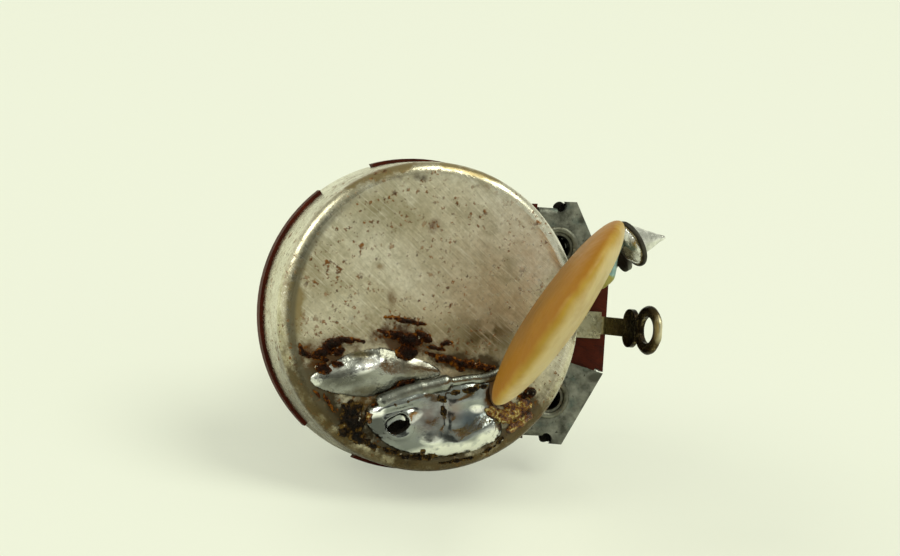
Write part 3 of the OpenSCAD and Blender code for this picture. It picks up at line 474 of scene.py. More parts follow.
def middleLug(look):
    # Tin-plated brass that has been soldered: bright at the root, darker along the stem to near black at the
    # collar, with a painted highlight on the ring's right edge
    finish, tree, shader, place = newFinish("soldered tin plate of the middle lug")
    along = Vector(look["end"]) - Vector(look["start"])
    shifted = addNode(tree, "VectorMath", {0: place, 1: Vector(look["start"]) * mm}, operation="SUBTRACT")
    run = addNode(tree, "VectorMath", {0: shifted, 1: along.normalized() / (along.length * mm)},
                  output="Value", operation="DOT_PRODUCT")
    uneven = addNode(tree, "MapRange",
                     {"Value": cloud(place, 0.8, 0.3, 0.7), "To Min": -0.04, "To Max": 0.04})
    run = addNode(tree, "Math", {0: run, 1: uneven}, operation="ADD")
    tone = addNode(tree, "ValToRGB", {0: run}, stops=look["tones"])
    tone = laidOver(tone, look["dark"], cloud(place, 0.4, 0.52, 0.70, detail=5), 0.55)
    tone = laidOver(tone, look["pale"], cloud(place, 0.5, 0.54, 0.70, detail=5, shift=(3, 1, 2)), 0.6)
    # painted highlight on the ring's right edge
    spot, size, hue = look["edge"]
    tone = laidOver(tone, hue, patch(place, spot, size, 0, 0.7))
    gloss = addNode(tree, "MapRange", {"Value": cloud(place, 0.7, 0.3, 0.7),
                                       "To Min": look["roughness"] - 0.12,
                                       "To Max": look["roughness"] + 0.12})
    setSockets(tree, shader, {"Base Color": tone, "Metallic": 1.0, "Roughness": gloss})
    relief(shader, (cloud(place, 0.3, 0.3, 0.7, detail=4), 0.03, 0.6))
    return finish


cornerTin = dullTin("oxidised tin plate of the corners", cornerLook)
lugTin = middleLug(lugLook)
dress("wafer", phenolicBoard(boardLook))
dress("terminal_1", cornerTin)
dress("terminal_2", lugTin)
dress("terminal_3", cornerTin)
eyeletTin = dullTin("oxidised tin plate of the eyelets", eyeletLook)
for k in (1, 2, 3):
    dress(f"eyelet_{k}", eyeletTin)
dress("front_plate", dullTin("plated steel sheet", frontLook))

ringLook = {"reach": 1.48, "waves": (1.3, 0.05),
            "rings": [("middleLugTin", (17.11, -10.0, 0.0), (0.978, 0.208, 0.0), 0.43, 0.31, lugTin),
                      ("outerLugTin", (15.384, -9.62, 6.587), (0.859, 0.174, 0.481), 0.34, 0.24,
                       dullTin("browned tin of the outer ring", ringTin))]}


def tinnedRings(look):
    # the thick coat of tin that rounds each bent-back lug's ring
    for name, middle, axis, half, thick, finish in look["rings"]:
        shape = bmesh.new()
        across = (Matrix.Translation((look["reach"] * mm, 0, 0)) @ Matrix.Rotation(math.pi / 2, 4, "X")
                  @ Matrix.Diagonal((half * mm, thick * mm, 1, 1)))
        section = bmesh.ops.create_circle(shape, segments=20, radius=1.0, matrix=across)
        bmesh.ops.spin(shape, geom=section["verts"] + shape.edges[:], cent=(0, 0, 0), axis=(0, 0, 1),
                       angle=2 * math.pi, steps=64, use_merge=True, use_duplicate=False)
        bmesh.ops.recalc_face_normals(shape, faces=shape.faces)
        shape.normal_update()
        unevenSkin(shape, *look["waves"])
        turn = Vector((0, 0, 1)).rotation_difference(Vector(axis)).to_matrix().to_4x4()
        bmesh.ops.transform(shape, matrix=Matrix.Translation(Vector(middle) * mm) @ turn, verts=shape.verts)
        keepPiece(name, shape, finish, "housing")


tinnedRings(ringLook)
print("wafer and terminals dressed")


def turnedMetal(name, look):
    # Turned or rolled metal: fine lines from the tool, and a light tarnish
    finish, tree, shader, place = newFinish(name)
    lines = cloud(place, 0.15, 0.40, 0.64, detail=2, stretch=look["lines"])
    tone = laidOver(look["hue"], look["dark"], cloud(place, 3.0, 0.4, 0.7, detail=5))
    tone = laidOver(tone, look["spot"], cloud(place, 0.7, 0.58, 0.72, detail=5), 0.5)
    tone = laidOver(tone, look["dark"], lines, 0.25)
    gloss = addNode(tree, "MapRange",
                    {"Value": lines, "To Min": look["rough"] - 0.05, "To Max": look["rough"] + 0.08})
    setSockets(tree, shader, {"Base Color": tone, "Metallic": 1.0, "Roughness": gloss})
    relief(shader, (lines, 0.005, 0.6))
    return finish


def moulding():
    # Phenolic moulding powder, pressed: near black with a satin face and faint flow marks
    finish, tree, shader, place = newFinish("pressed phenolic moulding")
    tone = laidOver("#1d1713", "#2b221b", cloud(place, 1.5, 0.35, 0.7, detail=6))
    setSockets(tree, shader, {"Base Color": tone, "Roughness": 0.38})
    relief(shader, (cloud(place, 0.6, 0.3, 0.7), 0.01, 0.5))
    return finish


def carbonFilm():
    # Printed carbon ink: matt black with a fine grain
    finish, tree, shader, place = newFinish("printed carbon film")
    tone = laidOver("#17181a", "#26282b", cloud(place, 0.3, 0.4, 0.7, detail=3))
    setSockets(tree, shader, {"Base Color": tone, "Roughness": 0.62})
    relief(shader, (cloud(place, 0.15, 0.3, 0.7), 0.005, 0.5))
    return finish


bushingBrass = turnedMetal("turned and plated brass",
                           {"hue": "#bab08e", "dark": "#8f8666", "spot": "#5d5236", "rough": 0.30,
                            "lines": (12, 1, 12)})
springBronze = turnedMetal("rolled spring bronze",
                           {"hue": "#b98d55", "dark": "#8e6a3c", "spot": "#5a4022", "rough": 0.32,
                            "lines": (1, 12, 12)})
dress("shaft", turnedMetal("turned brass rod",
                           {"hue": "#b7a673", "dark": "#8f7f50", "spot": "#5f5230", "rough": 0.27,
                            "lines": (12, 1, 12)}))
dress("retaining_ring",
      turnedMetal("stamped bronze ring",
                  {"hue": "#96824f", "dark": "#6f5c38", "spot": "#46371e", "rough": 0.36,
                   "lines": (12, 1, 12)}))
dress("rotor", moulding())
dress("wiper_spring", springBronze)
dress("resistive_track", carbonFilm())
dress("collector_ring", springBronze)

threadLook = {"crestR": 4.76, "rootR": 4.31, "pitch": 0.8, "from": 1.0, "to": 8.9, "steps": 48,
              "pilotEnd": 0.61}


def bushingThread(look):
    # the CAD bushing with its drawn rings turned down to the root, and a true helical ridge on it
    shape = copyOf("bushing")
    for v in shape.verts:
        r = math.hypot(v.co.x, v.co.z) / mm
        if v.co.y > look["pilotEnd"] * mm and r > look["rootR"] + 0.005:
            v.co.x *= look["rootR"] / r
            v.co.z *= look["rootR"] / r
    keepPiece("bushingBarrel", shape, bushingBrass, "housing", ["bushing"], smooth=False)
    ridge = bmesh.new()
    flank = (look["crestR"] - look["rootR"]) * math.tan(math.radians(30))
    crest = look["pitch"] / 8
    y = look["from"] - flank - crest / 2
    profile = [ridge.verts.new(Vector(p) * mm) for p in (
        (look["rootR"] - 0.2, y, 0), (look["rootR"], y, 0), (look["crestR"], y + flank, 0),
        (look["crestR"], y + flank + crest, 0), (look["rootR"], y + 2 * flank + crest, 0),
        (look["rootR"] - 0.2, y + 2 * flank + crest, 0))]
    edges = [ridge.edges.new((a, b)) for a, b in zip(profile, profile[1:] + profile[:1])]
    ridge.faces.new(profile)
    turns = (look["to"] - look["from"]) / look["pitch"]
    rise = (0, look["pitch"] * mm / look["steps"], 0)
    made = bmesh.ops.spin(ridge, geom=profile + edges, cent=(0, 0, 0), axis=(0, 1, 0), dvec=rise,
                          angle=2 * math.pi * turns, steps=int(look["steps"] * turns), use_duplicate=False)
    last = [v for v in made["geom_last"] if isinstance(v, bmesh.types.BMVert)]
    ridge.faces.new(last)
    bmesh.ops.recalc_face_normals(ridge, faces=ridge.faces)
    keepPiece("bushingThread", ridge, bushingBrass, "housing", smooth=False)


bushingThread(threadLook)
print("bushing, shaft and inside dressed")


def solderFinish(name, look):
    # Tin-lead solder as it froze: a bright skin with gray, frosted patches where it cooled slowly
    finish, tree, shader, place = newFinish(name)
    frost = addNode(tree, "Math", {0: cloud(place, 1.8, 0.46, 0.62, detail=5), 1: look["frost"]},
                    operation="MULTIPLY")
    tone = laidOver(look["bright"], look["dull"], frost)
    ragged = cloud(place, 0.8, 0.25, 0.5, detail=5)
    # on the fresh and the old solder most listed tones are painted highlights and painted reflections
    tone = marked(place, tone, look["tones"], 0.7, ragged)
    tone = laidOver(tone, "#3b3530", cloud(place, 0.5, 0.64, 0.70, detail=3), look["specks"])
    gloss = addNode(tree, "MapRange",
                    {"Value": frost, "To Min": look["rough"], "To Max": look["rough"] + 0.24})
    setSockets(tree, shader, {"Base Color": tone, "Metallic": 1.0, "Roughness": gloss})
    relief(shader, (cloud(place, 0.35, 0.3, 0.7, detail=3), 0.03, look["crinkle"]))
    return finish


# waves, ridges and grain of the solder, in mm, and how often a wave comes in a mm
moundLook = {"skirt": 0.05, "risen": 0.5, "waveOften": 0.8, "wave": 0.10, "waveSeed": (3.1, 0, 7.7),
             "lipWidth": 0.28, "lip": 0.22, "craterStretch": 1.15, "grainOften": 3.4, "grain": 0.22}
freshLook = {
    "voxelMm": 0.11, "bright": "#969a98", "dull": "#6f7372", "rough": 0.15, "frost": 0.5, "specks": 0.3,
    "crinkle": 0.3,
    # painted light among the tones: the near-white ones are painted highlights, the long white band low on
    # the mound is a painted reflection of the floor, and the blue-gray one is a painted reflection of the dim
    # room
    "tones": [((0.1, -9.5, -7.7), (1.6, 3, 1.7), 0, 0.7, "#75655f"),
              ((1.9, -9.5, -7.0), (1.2, 3, 1.1), 0, 0.7, "#85746f"),
              ((3.4, -9.5, -7.5), (1.5, 3, 1.2), -35, 0.8, "#58646e"),
              ((2.2, -9.5, -10.2), (4.4, 3, 0.9), -9, 2.0, "#f4f5ee"),
              ((4.9, -9.5, -9.0), (1.5, 3, 0.9), -40, 2.0, "#f0f1ea"),
              ((-4.0, -9.5, -7.5), (0.8, 3, 0.5), -25, 2.0, "#ffffff"),
              ((-1.2, -9.5, -7.7), (1.0, 3, 0.45), -30, 2.0, "#f2f2ec"),
              ((-3.4, -9.5, -9.3), (0.9, 3, 0.8), 30, 1.2, "#77797a"),
              ((-3.75, -9.5, -8.5), (0.9, 3, 0.9), 0, 2.0, "#5d5f5e"),
              ((3.9, -9.5, -6.8), (0.8, 3, 0.4), 0, 2.0, "#f4f4ee"),
              ((5.1, -9.8, -5.8), (0.9, 3, 1.1), 0, 2.0, "#4a2f14"),
              ((0.4, -9.5, -9.4), (1.0, 3, 0.5), 0, 2.0, "#e4e6df")],
    # raised and sunk lines: two ends, width and height
    "lines": [((-4.2, -7.3), (-0.6, -5.8), 0.75, 0.50), ((0.4, -9.8), (2.6, -9.6), 0.8, 0.26),
              ((2.6, -9.6), (5.0, -8.1), 0.8, 0.36), ((-3.3, -7.5), (-1.2, -6.9), 0.28, -0.22),
              ((1.15, -6.4), (1.35, -8.2), 0.24, -0.16), ((3.0, -8.2), (4.6, -7.0), 0.6, -0.18),
              ((2.2, -6.3), (4.4, -5.9), 0.6, 0.16)],
    "crater": (-2.17, -8.52), "craterR": 0.95, "grain": (((5.4, -8.3), 1.1), ((-3.5, -9.0), 1.0))}
oldLook = {
    "voxelMm": 0.11, "bright": "#9c9d97", "dull": "#77766f", "rough": 0.26, "frost": 0.8, "specks": 0.5,
    "crinkle": 0.8,
    # painted light among the tones: the white and near-white ones are painted highlights, and the mid grays
    # on the lower flank and right of the highlight are painted shade that dulls the reflections
    "tones": [((-1.3, -9.3, -4.0), (2.6, 3, 1.0), 10, 0.8, "#7a7260"),
              ((-5.4, -9.3, -3.1), (1.4, 3, 0.5), 0, 0.8, "#6d6038"),
              ((-5.0, -9.3, -5.9), (2.2, 3, 0.6), -15, 0.8, "#5c5646"),
              ((-4.9, -9.3, -3.95), (1.6, 3, 0.55), -30, 1.7, "#ffffff"),
              ((-3.4, -9.3, -3.0), (1.1, 3, 0.6), 0, 1.6, "#7d7c72"),
              ((-6.9, -9.3, -4.1), (1.6, 3, 0.45), -20, 1.2, "#d4d5ce"),
              ((-6.6, -9.3, -5.2), (3.0, 3, 0.8), -10, 1.1, "#66665f"),
              ((-8.9, -9.3, -5.3), (0.7, 3, 0.6), 0, 2.0, "#dcddd6"),
              ((-1.0, -9.3, -3.2), (1.0, 3, 0.25), 8, 2.0, "#e8e8e0")],
    "lines": [((-8.6, -5.2), (-5.2, -4.2), 0.6, 0.10), ((-5.2, -4.2), (-3.9, -3.6), 0.5, 0.20),
              ((-6.4, -3.2), (-4.6, -3.3), 0.4, -0.25), ((-1.6, -3.6), (0.8, -3.9), 0.5, 0.10)]}


def solderMound(name, node, look, waves, finishName):
    # a copy of the CAD mound, with the ridges, hollows and grain that froze into it
    shape = remeshed(copyOf(node), look["voxelMm"], 3)
    for v in shape.verts:
        p = v.co / mm
        rise = canBack - p.y
        if rise < waves["skirt"]:
            continue
        lift = noise.noise(p * waves["waveOften"] + Vector(waves["waveSeed"])) * waves["wave"]
        for a, b, width, high in look["lines"]:
            lift += alongLine(p, a, b, width) * high
        if "crater" in look:
            far = math.hypot(p.x - look["crater"][0], (p.z - look["crater"][1]) * waves["craterStretch"])
            lift += math.exp(-((far - look["craterR"]) / waves["lipWidth"]) ** 2) * waves["lip"]
            near = sum(math.exp(-(math.hypot(p.x - spot[0], p.z - spot[1]) / reach) ** 2)
                       for spot, reach in look["grain"])
            lift += near * abs(noise.noise(p * waves["grainOften"])) * waves["grain"]
        v.co.y -= lift * stepped(rise / waves["risen"]) * mm
    shape.normal_update()
    return keepPiece(name, shape, solderFinish(finishName, look), "housing", [node])


wireLook = {"bright": "#93958e", "dull": "#66665d", "rough": 0.24, "frost": 0.8, "specks": 0.5,
            "crinkle": 0.5, "voxelMm": 0.09, "coat": 0.26, "bareCoat": 0.10, "coatEnd": 1.9, "coatFade": 0.5,
            "waveOften": 1.1, "wave": 0.07, "joints": (4.3, 1.75, -0.6), "ridgeWidth": 0.10, "ridge": 0.07,
            "tones": [((5.3, -11, -5.1), (1.5, 4, 1.5), 0, 2.0, "#3d2c19")]}


def solderedLead(look):
    # the second lead under its coat of solder, with the ridges where the solder stopped flowing
    shape = remeshed(copyOf("capacitor_lead_2"), look["voxelMm"], 1)
    for v in shape.verts:
        p = v.co / mm
        coat = look["coat"] + noise.noise(p * look["waveOften"]) * look["wave"]
        coat += sum(math.exp(-((p.x - x) / look["ridgeWidth"]) ** 2) * look["ridge"] for x in look["joints"])
        coat = look["bareCoat"] + coat * stepped((look["coatEnd"] - p.x) / look["coatFade"])
        v.co += v.normal * coat * mm
    shape.normal_update()
    finish = solderFinish("solder on tinned copper wire", look)
    keepPiece("solderedLead", shape, finish, "housing", ["capacitor_lead_2"])


coneLook = {"bright": "#f0f0ea", "dull": "#93938a", "rough": 0.12, "frost": 0.6, "specks": 0.5,
            "crinkle": 0.8, "voxelMm": 0.09, "waves": (1.2, 0.08),
            "tones": [((14.7, -9.9, 6.2), (1.7, 2.4, 1.9), 0, 1.2, "#85827a")]}


def lugSolder(look):
    # the mass of solder on the outer lug, with its drawn-out point and an uneven skin
    shape = remeshed(copyOf("lug_solder"), look["voxelMm"], 3)
    unevenSkin(shape, *look["waves"])
    keepPiece("lugSolder", shape, solderFinish("drawn tin-lead solder", look), "housing",
              ["lug_solder"])


freshPiece = solderMound("freshSolder", "fresh_solder", freshLook, moundLook, "bright tin-lead solder")
oldPiece = solderMound("oldSolder", "old_solder", oldLook, moundLook, "satin tin-lead solder")
solderedLead(wireLook)
lugSolder(coneLook)
print("solder made")

discLook = {"middle": (7.16, -19.0, 1.09), "axis": (0.8306, -0.2117, -0.5150), "half": 1.95,
            "roughness": 0.46,
            # tones across the disc, from its shaded face through the rim to its lit face: painted shade and
            # painted light
            "tones": [(0.0, "#7d5210"), (0.22, "#9c680e"), (0.40, "#9c6814"), (0.52, "#b28f38"),
                      (0.66, "#c9b27c"), (0.84, "#c1ab72"), (1.0, "#ac8a3e")],
            "brown": "#8c5c0c", "voxelMm": 0.2, "waves": (0.25, 0.07),
            "patches": [((12.9, -11.4, 3.6), (1.5, 1.5, 1.5), "#8a8238"),
                        ((4.6, -12.4, -5.3), (1.5, 2.6, 1.5), "#7c430c")]}


def resinFinish(look):
    # Phenolic resin dipped over a ceramic disc: a soft, slightly see-through tan coat, painted with light and
    # shade across it: orange-brown on the shaded face with a painted dark streak along the rim, paler tan on
    # the lit face
    finish, tree, shader, place = newFinish("dipped phenolic resin")
    shifted = addNode(tree, "VectorMath", {0: place, 1: Vector(look["middle"]) * mm}, operation="SUBTRACT")
    across = addNode(tree, "VectorMath", {0: shifted, 1: Vector(look["axis"]) / (2 * look["half"] * mm)},
                     output="Value", operation="DOT_PRODUCT")
    uneven = addNode(tree, "MapRange", {"Value": cloud(place, 3.5, 0.3, 0.7, detail=3),
                                        "To Min": 0.44, "To Max": 0.56})
    across = addNode(tree, "Math", {0: across, 1: uneven}, operation="ADD")
    # painted light and shade across the disc's two faces
    tone = addNode(tree, "ValToRGB", {0: across}, stops=look["tones"])
    tone = laidOver(tone, look["brown"], cloud(place, 2.0, 0.50, 0.72, detail=4), 0.30)
    for centre, size, hue in look["patches"]:
        tone = laidOver(tone, hue, patch(place, centre, size, 0, 0.5))
    setSockets(tree, shader, {"Base Color": tone, "Roughness": look["roughness"], "Specular IOR Level": 0.25,
                              "Subsurface Weight": 0.12, "Subsurface Radius": (1.0, 0.55, 0.2),
                              "Subsurface Scale": 0.6 * mm})
    relief(shader, (cloud(place, 1.6, 0.3, 0.7, detail=2), 0.08, 0.5))
    return finish


def discBody(look):
    # a copy of the CAD disc with long shallow waves in its resin
    shape = remeshed(copyOf("capacitor"), look["voxelMm"], 3)
    unevenSkin(shape, *look["waves"])
    keepPiece("discBody", shape, resinFinish(look), "housing", ["capacitor"])


leadLook = {"low": 2.6, "high": 6.8, "patina": "#5c706b",
            "tones": [(0.08, "#8d8433"), (0.30, "#95964a"), (0.36, "#7f9c96"), (0.80, "#93aaa4"),
                      (1.0, "#50554e")]}


def patinaWire(look):
    # Tinned copper wire: yellow resin at its root, then a teal-gray patina
    finish, tree, shader, place = newFinish("tinned copper wire with patina")
    high = addNode(tree, "SeparateXYZ", {0: place}, output=2)
    run = addNode(tree, "MapRange",
                  {"Value": high, "From Min": look["low"] * mm, "From Max": look["high"] * mm})
    tone = addNode(tree, "ValToRGB", {0: run}, stops=look["tones"])
    tone = laidOver(tone, look["patina"], cloud(place, 0.6, 0.5, 0.7))
    setSockets(tree, shader, {"Base Color": tone, "Metallic": 0.75, "Roughness": 0.36})
    relief(shader, (cloud(place, 0.4, 0.3, 0.7), 0.02, 0.5))
    return finish


discBody(discLook)
dress("capacitor_lead_1", patinaWire(leadLook))
print("capacitor made")

# x, z, half length, half width, height and turn in degrees of each crust, in mm
crustLook = {
    "grainMm": 0.075, "ragged": 0.26, "rough": 0.20, "gloss": 0.10, "glints": 0.42, "seed": 2.3,
    "swell": 0.10, "mottleMm": 0.30, "mottle": 0.20, "byDepth": 1.0, "middle": 0.0,
    "tones": [(0.0, "#8a5410"), (0.12, "#5e300a"), (0.26, "#2e1303"), (0.6, "#150701")],
    "spots": [(-10.0, -2.95, 0.42, 0.18, 0.25, 66), (-9.54, -3.37, 0.65, 0.26, 0.35, 16),
              (-8.51, -3.25, 0.78, 0.43, 0.5, -29), (-7.65, -2.46, 0.78, 0.48, 0.55, -29),
              (-6.64, -2.13, 0.78, 0.28, 0.4, 6), (-5.66, -2.07, 0.65, 0.17, 0.3, 11),
              (-7.23, -3.05, 0.65, 0.32, 0.4, -14), (-8.22, -3.71, 0.52, 0.17, 0.25, 6),
              (-8.18, -4.37, 0.59, 0.41, 0.4, 16), (-7.16, -4.0, 0.46, 0.26, 0.3, -4),
              (-2.98, -0.2, 0.72, 0.18, 0.25, 4), (-1.92, -0.4, 0.91, 0.23, 0.35, 6),
              (-0.86, -0.55, 0.52, 0.18, 0.3, 1), (-3.68, -1.39, 0.49, 0.18, 0.25, 21),
              (-2.63, -1.55, 1.17, 0.36, 0.35, 6), (-1.56, -1.84, 1.04, 0.54, 0.5, 6),
              (-1.76, -2.75, 0.86, 0.59, 0.6, -4), (-0.66, -1.44, 0.65, 0.36, 0.4, 11),
              (-0.25, -1.71, 0.39, 0.32, 0.4, -4), (0.58, -2.36, 0.78, 0.2, 0.3, 6),
              (1.28, -1.97, 0.6, 0.2, 0.22, -19), (0.22, -2.9, 0.52, 0.2, 0.3, 16),
              # the wide crusts at x 2.9 and 4.3 are partly burnt rosin and partly a painted shadow band above
              # the lead
              (1.43, -3.2, 1.0, 0.34, 0.3, 8), (2.9, -3.45, 1.4, 0.30, 0.25, 3),
              (4.3, -3.6, 1.1, 0.28, 0.25, 5), (-1.73, -5.17, 0.72, 0.26, 0.3, -19),
              (-2.73, -5.86, 0.91, 0.22, 0.25, -39), (-3.74, -6.55, 0.65, 0.13, 0.2, -39),
              (-7.76, -6.76, 0.78, 0.13, 0.15, 56), (-8.57, -6.3, 0.39, 0.11, 0.15, 46),
              (2.53, -3.92, 0.33, 0.13, 0.15, -4), (8.2, -5.35, 0.5, 0.4, 0.45, -4),
              (7.6, -5.7, 0.4, 0.28, 0.3, -4)]}
grimeLook = {
    "grainMm": 0.075, "ragged": 0.26, "rough": 0.20, "gloss": 0.10, "glints": 0.30, "seed": 5.1,
    "swell": 0.05, "mottleMm": 0.30, "mottle": 0.22, "byDepth": 1.0, "middle": 0.0,
    "tones": [(0.0, "#6d5426"), (0.12, "#3c2a10"), (0.28, "#1d130a"), (0.6, "#0d0a07")],
    "spots": [(-5.77, -7.42, 0.80, 0.75, 0.35, -4), (-5.57, -8.43, 0.9, 0.88, 0.4, -4),
              (-5.24, -9.43, 0.8, 0.6, 0.4, 16), (-6.12, -7.95, 0.6, 0.65, 0.3, -4),
              (-6.3, -9.0, 0.5, 0.5, 0.25, -4), (-4.2, -9.95, 0.7, 0.3, 0.2, 30),
              (-0.13, -10.4, 0.25, 0.23, 0.25, -4), (-0.43, -10.8, 1.3, 0.22, 0.22, 1),
              (0.55, -10.7, 0.6, 0.28, 0.25, -4), (-2.2, -10.5, 1.0, 0.22, 0.2, 16),
              (2.6, -10.95, 1.4, 0.12, 0.15, -12), (5.6, -9.6, 1.0, 0.15, 0.15, -42),
              (1.1, -6.18, 0.42, 0.28, 0.22, 26), (1.24, -7.1, 0.55, 0.10, 0.10, 78),
              (-2.67, -6.82, 0.12, 0.15, 0.1, -4), (-1.64, -6.51, 0.12, 0.11, 0.1, -4),
              # the long thin one at x 3.3 is a painted shadow under the soldered lead, laid down as a dark
              # crust
              (3.3, -5.32, 1.8, 0.20, 0.22, -12), (5.0, -4.0, 0.6, 0.25, 0.2, -20)]}
amberLook = {
    "grainMm": 0.075, "ragged": 0.24, "rough": 0.05, "gloss": 0.7, "glints": 0.22, "seed": 7.9, "swell": 0.05,
    "mottleMm": 0.42, "mottle": 0.5, "byDepth": 0.0, "middle": 0.5,
    "tones": [(0.0, "#241003"), (0.34, "#592a04"), (0.60, "#8a560a"), (0.82, "#a37e22"), (0.98, "#e0cf8c")],
    "spots": [(5.32, -6.95, 0.74, 0.46, 0.35, 16), (6.24, -7.29, 0.88, 0.57, 0.5, 6),
              (7.12, -6.96, 0.68, 0.57, 0.5, -24), (7.86, -6.25, 0.59, 0.6, 0.45, -64),
              (7.29, -7.92, 0.88, 0.38, 0.3, -34), (8.04, -7.3, 0.55, 0.38, 0.3, -44),
              (6.48, -6.41, 0.78, 0.34, 0.3, 6), (-4.53, -7.93, 0.18, 0.43, 0.25, -14)]}
craterLook = {"grainMm": 0.06, "ragged": 0.05, "rough": 0.25, "gloss": 0.10, "glints": 0.0, "seed": 4.4,
              "swell": 0.0, "mottleMm": 0.5, "mottle": 0.1, "byDepth": 1.0, "middle": 0.0,
              "tones": [(0.0, "#1c140c"), (0.3, "#0b0805")],
              "spots": [(-2.17, -8.52, 0.86, 0.50, 0.3, -28)]}


def rosinFinish(name, look):
    # Burnt rosin: brittle, glassy crusts, nearly black where thick and orange-brown where thin
    finish, tree, shader, place = newFinish(name)
    thick = addNode(tree, "Attribute", output="Fac", attribute_name="thickness")
    grain = addNode(tree, "MapRange", {"Value": cloud(place, look["mottleMm"], 0.36, 0.64, detail=4),
                                       "To Min": -look["mottle"], "To Max": look["mottle"]})
    level = addNode(tree, "Math", {0: thick, 1: look["byDepth"]}, operation="MULTIPLY")
    level = addNode(tree, "Math", {0: level, 1: grain}, operation="ADD")
    level = addNode(tree, "Math", {0: level, 1: look["middle"]}, operation="ADD")
    tone = addNode(tree, "ValToRGB", {0: level}, stops=look["tones"])
    # painted glints: pale metallic specks that stand in for small broken faces that flash
    glint = specks(place, 0.42, look["glints"], 0.30, (1, 2, 3))
    gloss = addNode(tree, "MapRange",
                    {"Value": cloud(place, 0.3, 0.45, 0.6), "To Min": 0.5, "To Max": look["rough"]})
    setSockets(tree, shader, {"Base Color": laidOver(tone, "#fff3dc", glint), "Metallic": glint,
                              "Roughness": gloss, "Specular IOR Level": look["gloss"]})
    relief(shader, (cloud(place, 0.16, 0.3, 0.7, detail=3), 0.12, 1.0))
    return finish


def surfacesUnder(pieces):
    trees = []
    for piece in pieces:
        shape = bmesh.new()
        shape.from_mesh(piece.data)
        trees.append(BVHTree.FromBMesh(shape))
        shape.free()
    return trees


def gridKey(v):
    # a vertex's place on the field, the same for its top and its bottom
    return round(v.co.x / mm, 3), round(v.co.z / mm, 3)


def fluxField(name, look, under, finish):
    # a crust grown as a field of heights over ovals with ragged edges, on whatever lies below it
    reach = 11.2
    shape = bmesh.new()
    layer = shape.verts.layers.float.new("thickness")
    count = int(2 * reach / look["grainMm"])
    upright = Matrix.Translation((0, canBack * mm, 0)) @ Matrix.Rotation(math.pi / 2, 4, "X")
    bmesh.ops.create_grid(shape, x_segments=count, y_segments=count, size=reach * mm, matrix=upright)
    shift = Vector((look["seed"], 0, look["seed"] * 0.7))
    turned = [(x, z, a, b, h, math.cos(math.radians(t)), math.sin(math.radians(t)))
              for x, z, a, b, h, t in look["spots"]]
    heights = {}
    gone = []
    for v in shape.verts:
        x, z = v.co.x / mm, v.co.z / mm
        cover = -1.0
        for cx, cz, a, b, h, c, s in turned:
            dx, dz = x - cx, z - cz
            if abs(dx) > 2 * a + b or abs(dz) > 2 * a + b:
                continue
            u, w = dx * c - dz * s, dx * s + dz * c
            cover = max(cover, h * (1.0 - (u / a) ** 2 - (w / b) ** 2) + look["swell"])
        if cover > -look["ragged"] * 2.0:
            p = Vector((x, 0, z))
            cover += sum(noise.noise(p * often + shift) * look["ragged"] * share
                         for often, share in ((1.7, 1.0), (3.3, 0.7), (5.5, 0.4)))
        if cover <= 0:
            gone.append(v)
        else:
            heights[v] = cover
    bmesh.ops.delete(shape, geom=gone, context="VERTS")
    bmesh.ops.delete(shape, geom=[v for v in shape.verts if not v.link_faces], context="VERTS")
    grown = bmesh.ops.extrude_face_region(shape, geom=shape.faces[:], use_keep_orig=True)
    tops = [v for v in grown["geom"] if isinstance(v, bmesh.types.BMVert)]
    known = {gridKey(v): h for v, h in heights.items() if v.is_valid}
    bottoms = {}
    for v in tops:
        start = Vector((v.co.x, -16 * mm, v.co.z))
        hits = [tree.ray_cast(start, Vector((0, 1, 0)))[0] for tree in under]
        level = min([h.y for h in hits if h is not None and h.y > -12 * mm] + [canBack * mm])
        bottoms[gridKey(v)] = level
        v[layer] = known.get(gridKey(v), 0.05)
        v.co.y = level - (v[layer] * 0.9 + 0.02) * mm
    raised = set(tops)
    for v in shape.verts:
        if v not in raised:
            v.co.y = bottoms.get(gridKey(v), canBack * mm) + 0.06 * mm
    bmesh.ops.recalc_face_normals(shape, faces=shape.faces)
    return keepPiece(name, shape, finish, "housing")


under = surfacesUnder([nodes["can"], freshPiece, oldPiece])
fluxField("burntFluxAndShadowBand", crustLook, under, rosinFinish("burnt rosin with a painted shadow band", crustLook))
fluxField("blackResidueAndShadow", grimeLook, under, rosinFinish("charred rosin and dirt with a painted shadow under the lead", grimeLook))
fluxField("amberFlux", amberLook, under, rosinFinish("clear amber rosin", amberLook))
# a dark fill in the fresh solder's crater
fluxField("craterFill", craterLook, under, rosinFinish("dark fill in the crater", craterLook))

plugLook = {"mottleMm": 0.5, "mottle": 0.1, "byDepth": 0.0, "middle": 0.3, "rough": 0.4, "gloss": 0.08,
            "glints": 0.0, "waves": (2.2, 0.10), "tones": [(0.0, "#15110c"), (0.5, "#090705")],
            "plugs": [((11.3, -2.1, 5.9), 1.02, 0.5), ((11.3, -2.1, -5.9), 1.02, 0.5),
                      ((11.42, -2.5, 9.02), 0.50, 0.6), ((11.42, -2.5, -9.02), 0.50, 0.6)]}


def eyeletPlugs(look):
    # dark plugs of painted shade that close the two outer eyelets, and dark residue in the corner plates'
    # reliefs: middle, radius and sag
    shape = bmesh.new()
    for spot, radius, sag in look["plugs"]:
        sunk = Matrix.Translation(Vector(spot) * mm) @ Matrix.Diagonal((1, sag, 1, 1))
        bmesh.ops.create_icosphere(shape, subdivisions=4, radius=radius * mm, matrix=sunk)
    shape.normal_update()
    unevenSkin(shape, *look["waves"])
    keepPiece("eyeletShadeAndReliefPlugs", shape, rosinFinish("painted shade in the eyelets and residue in the reliefs", look), "housing")


eyeletPlugs(plugLook)
print("flux made")

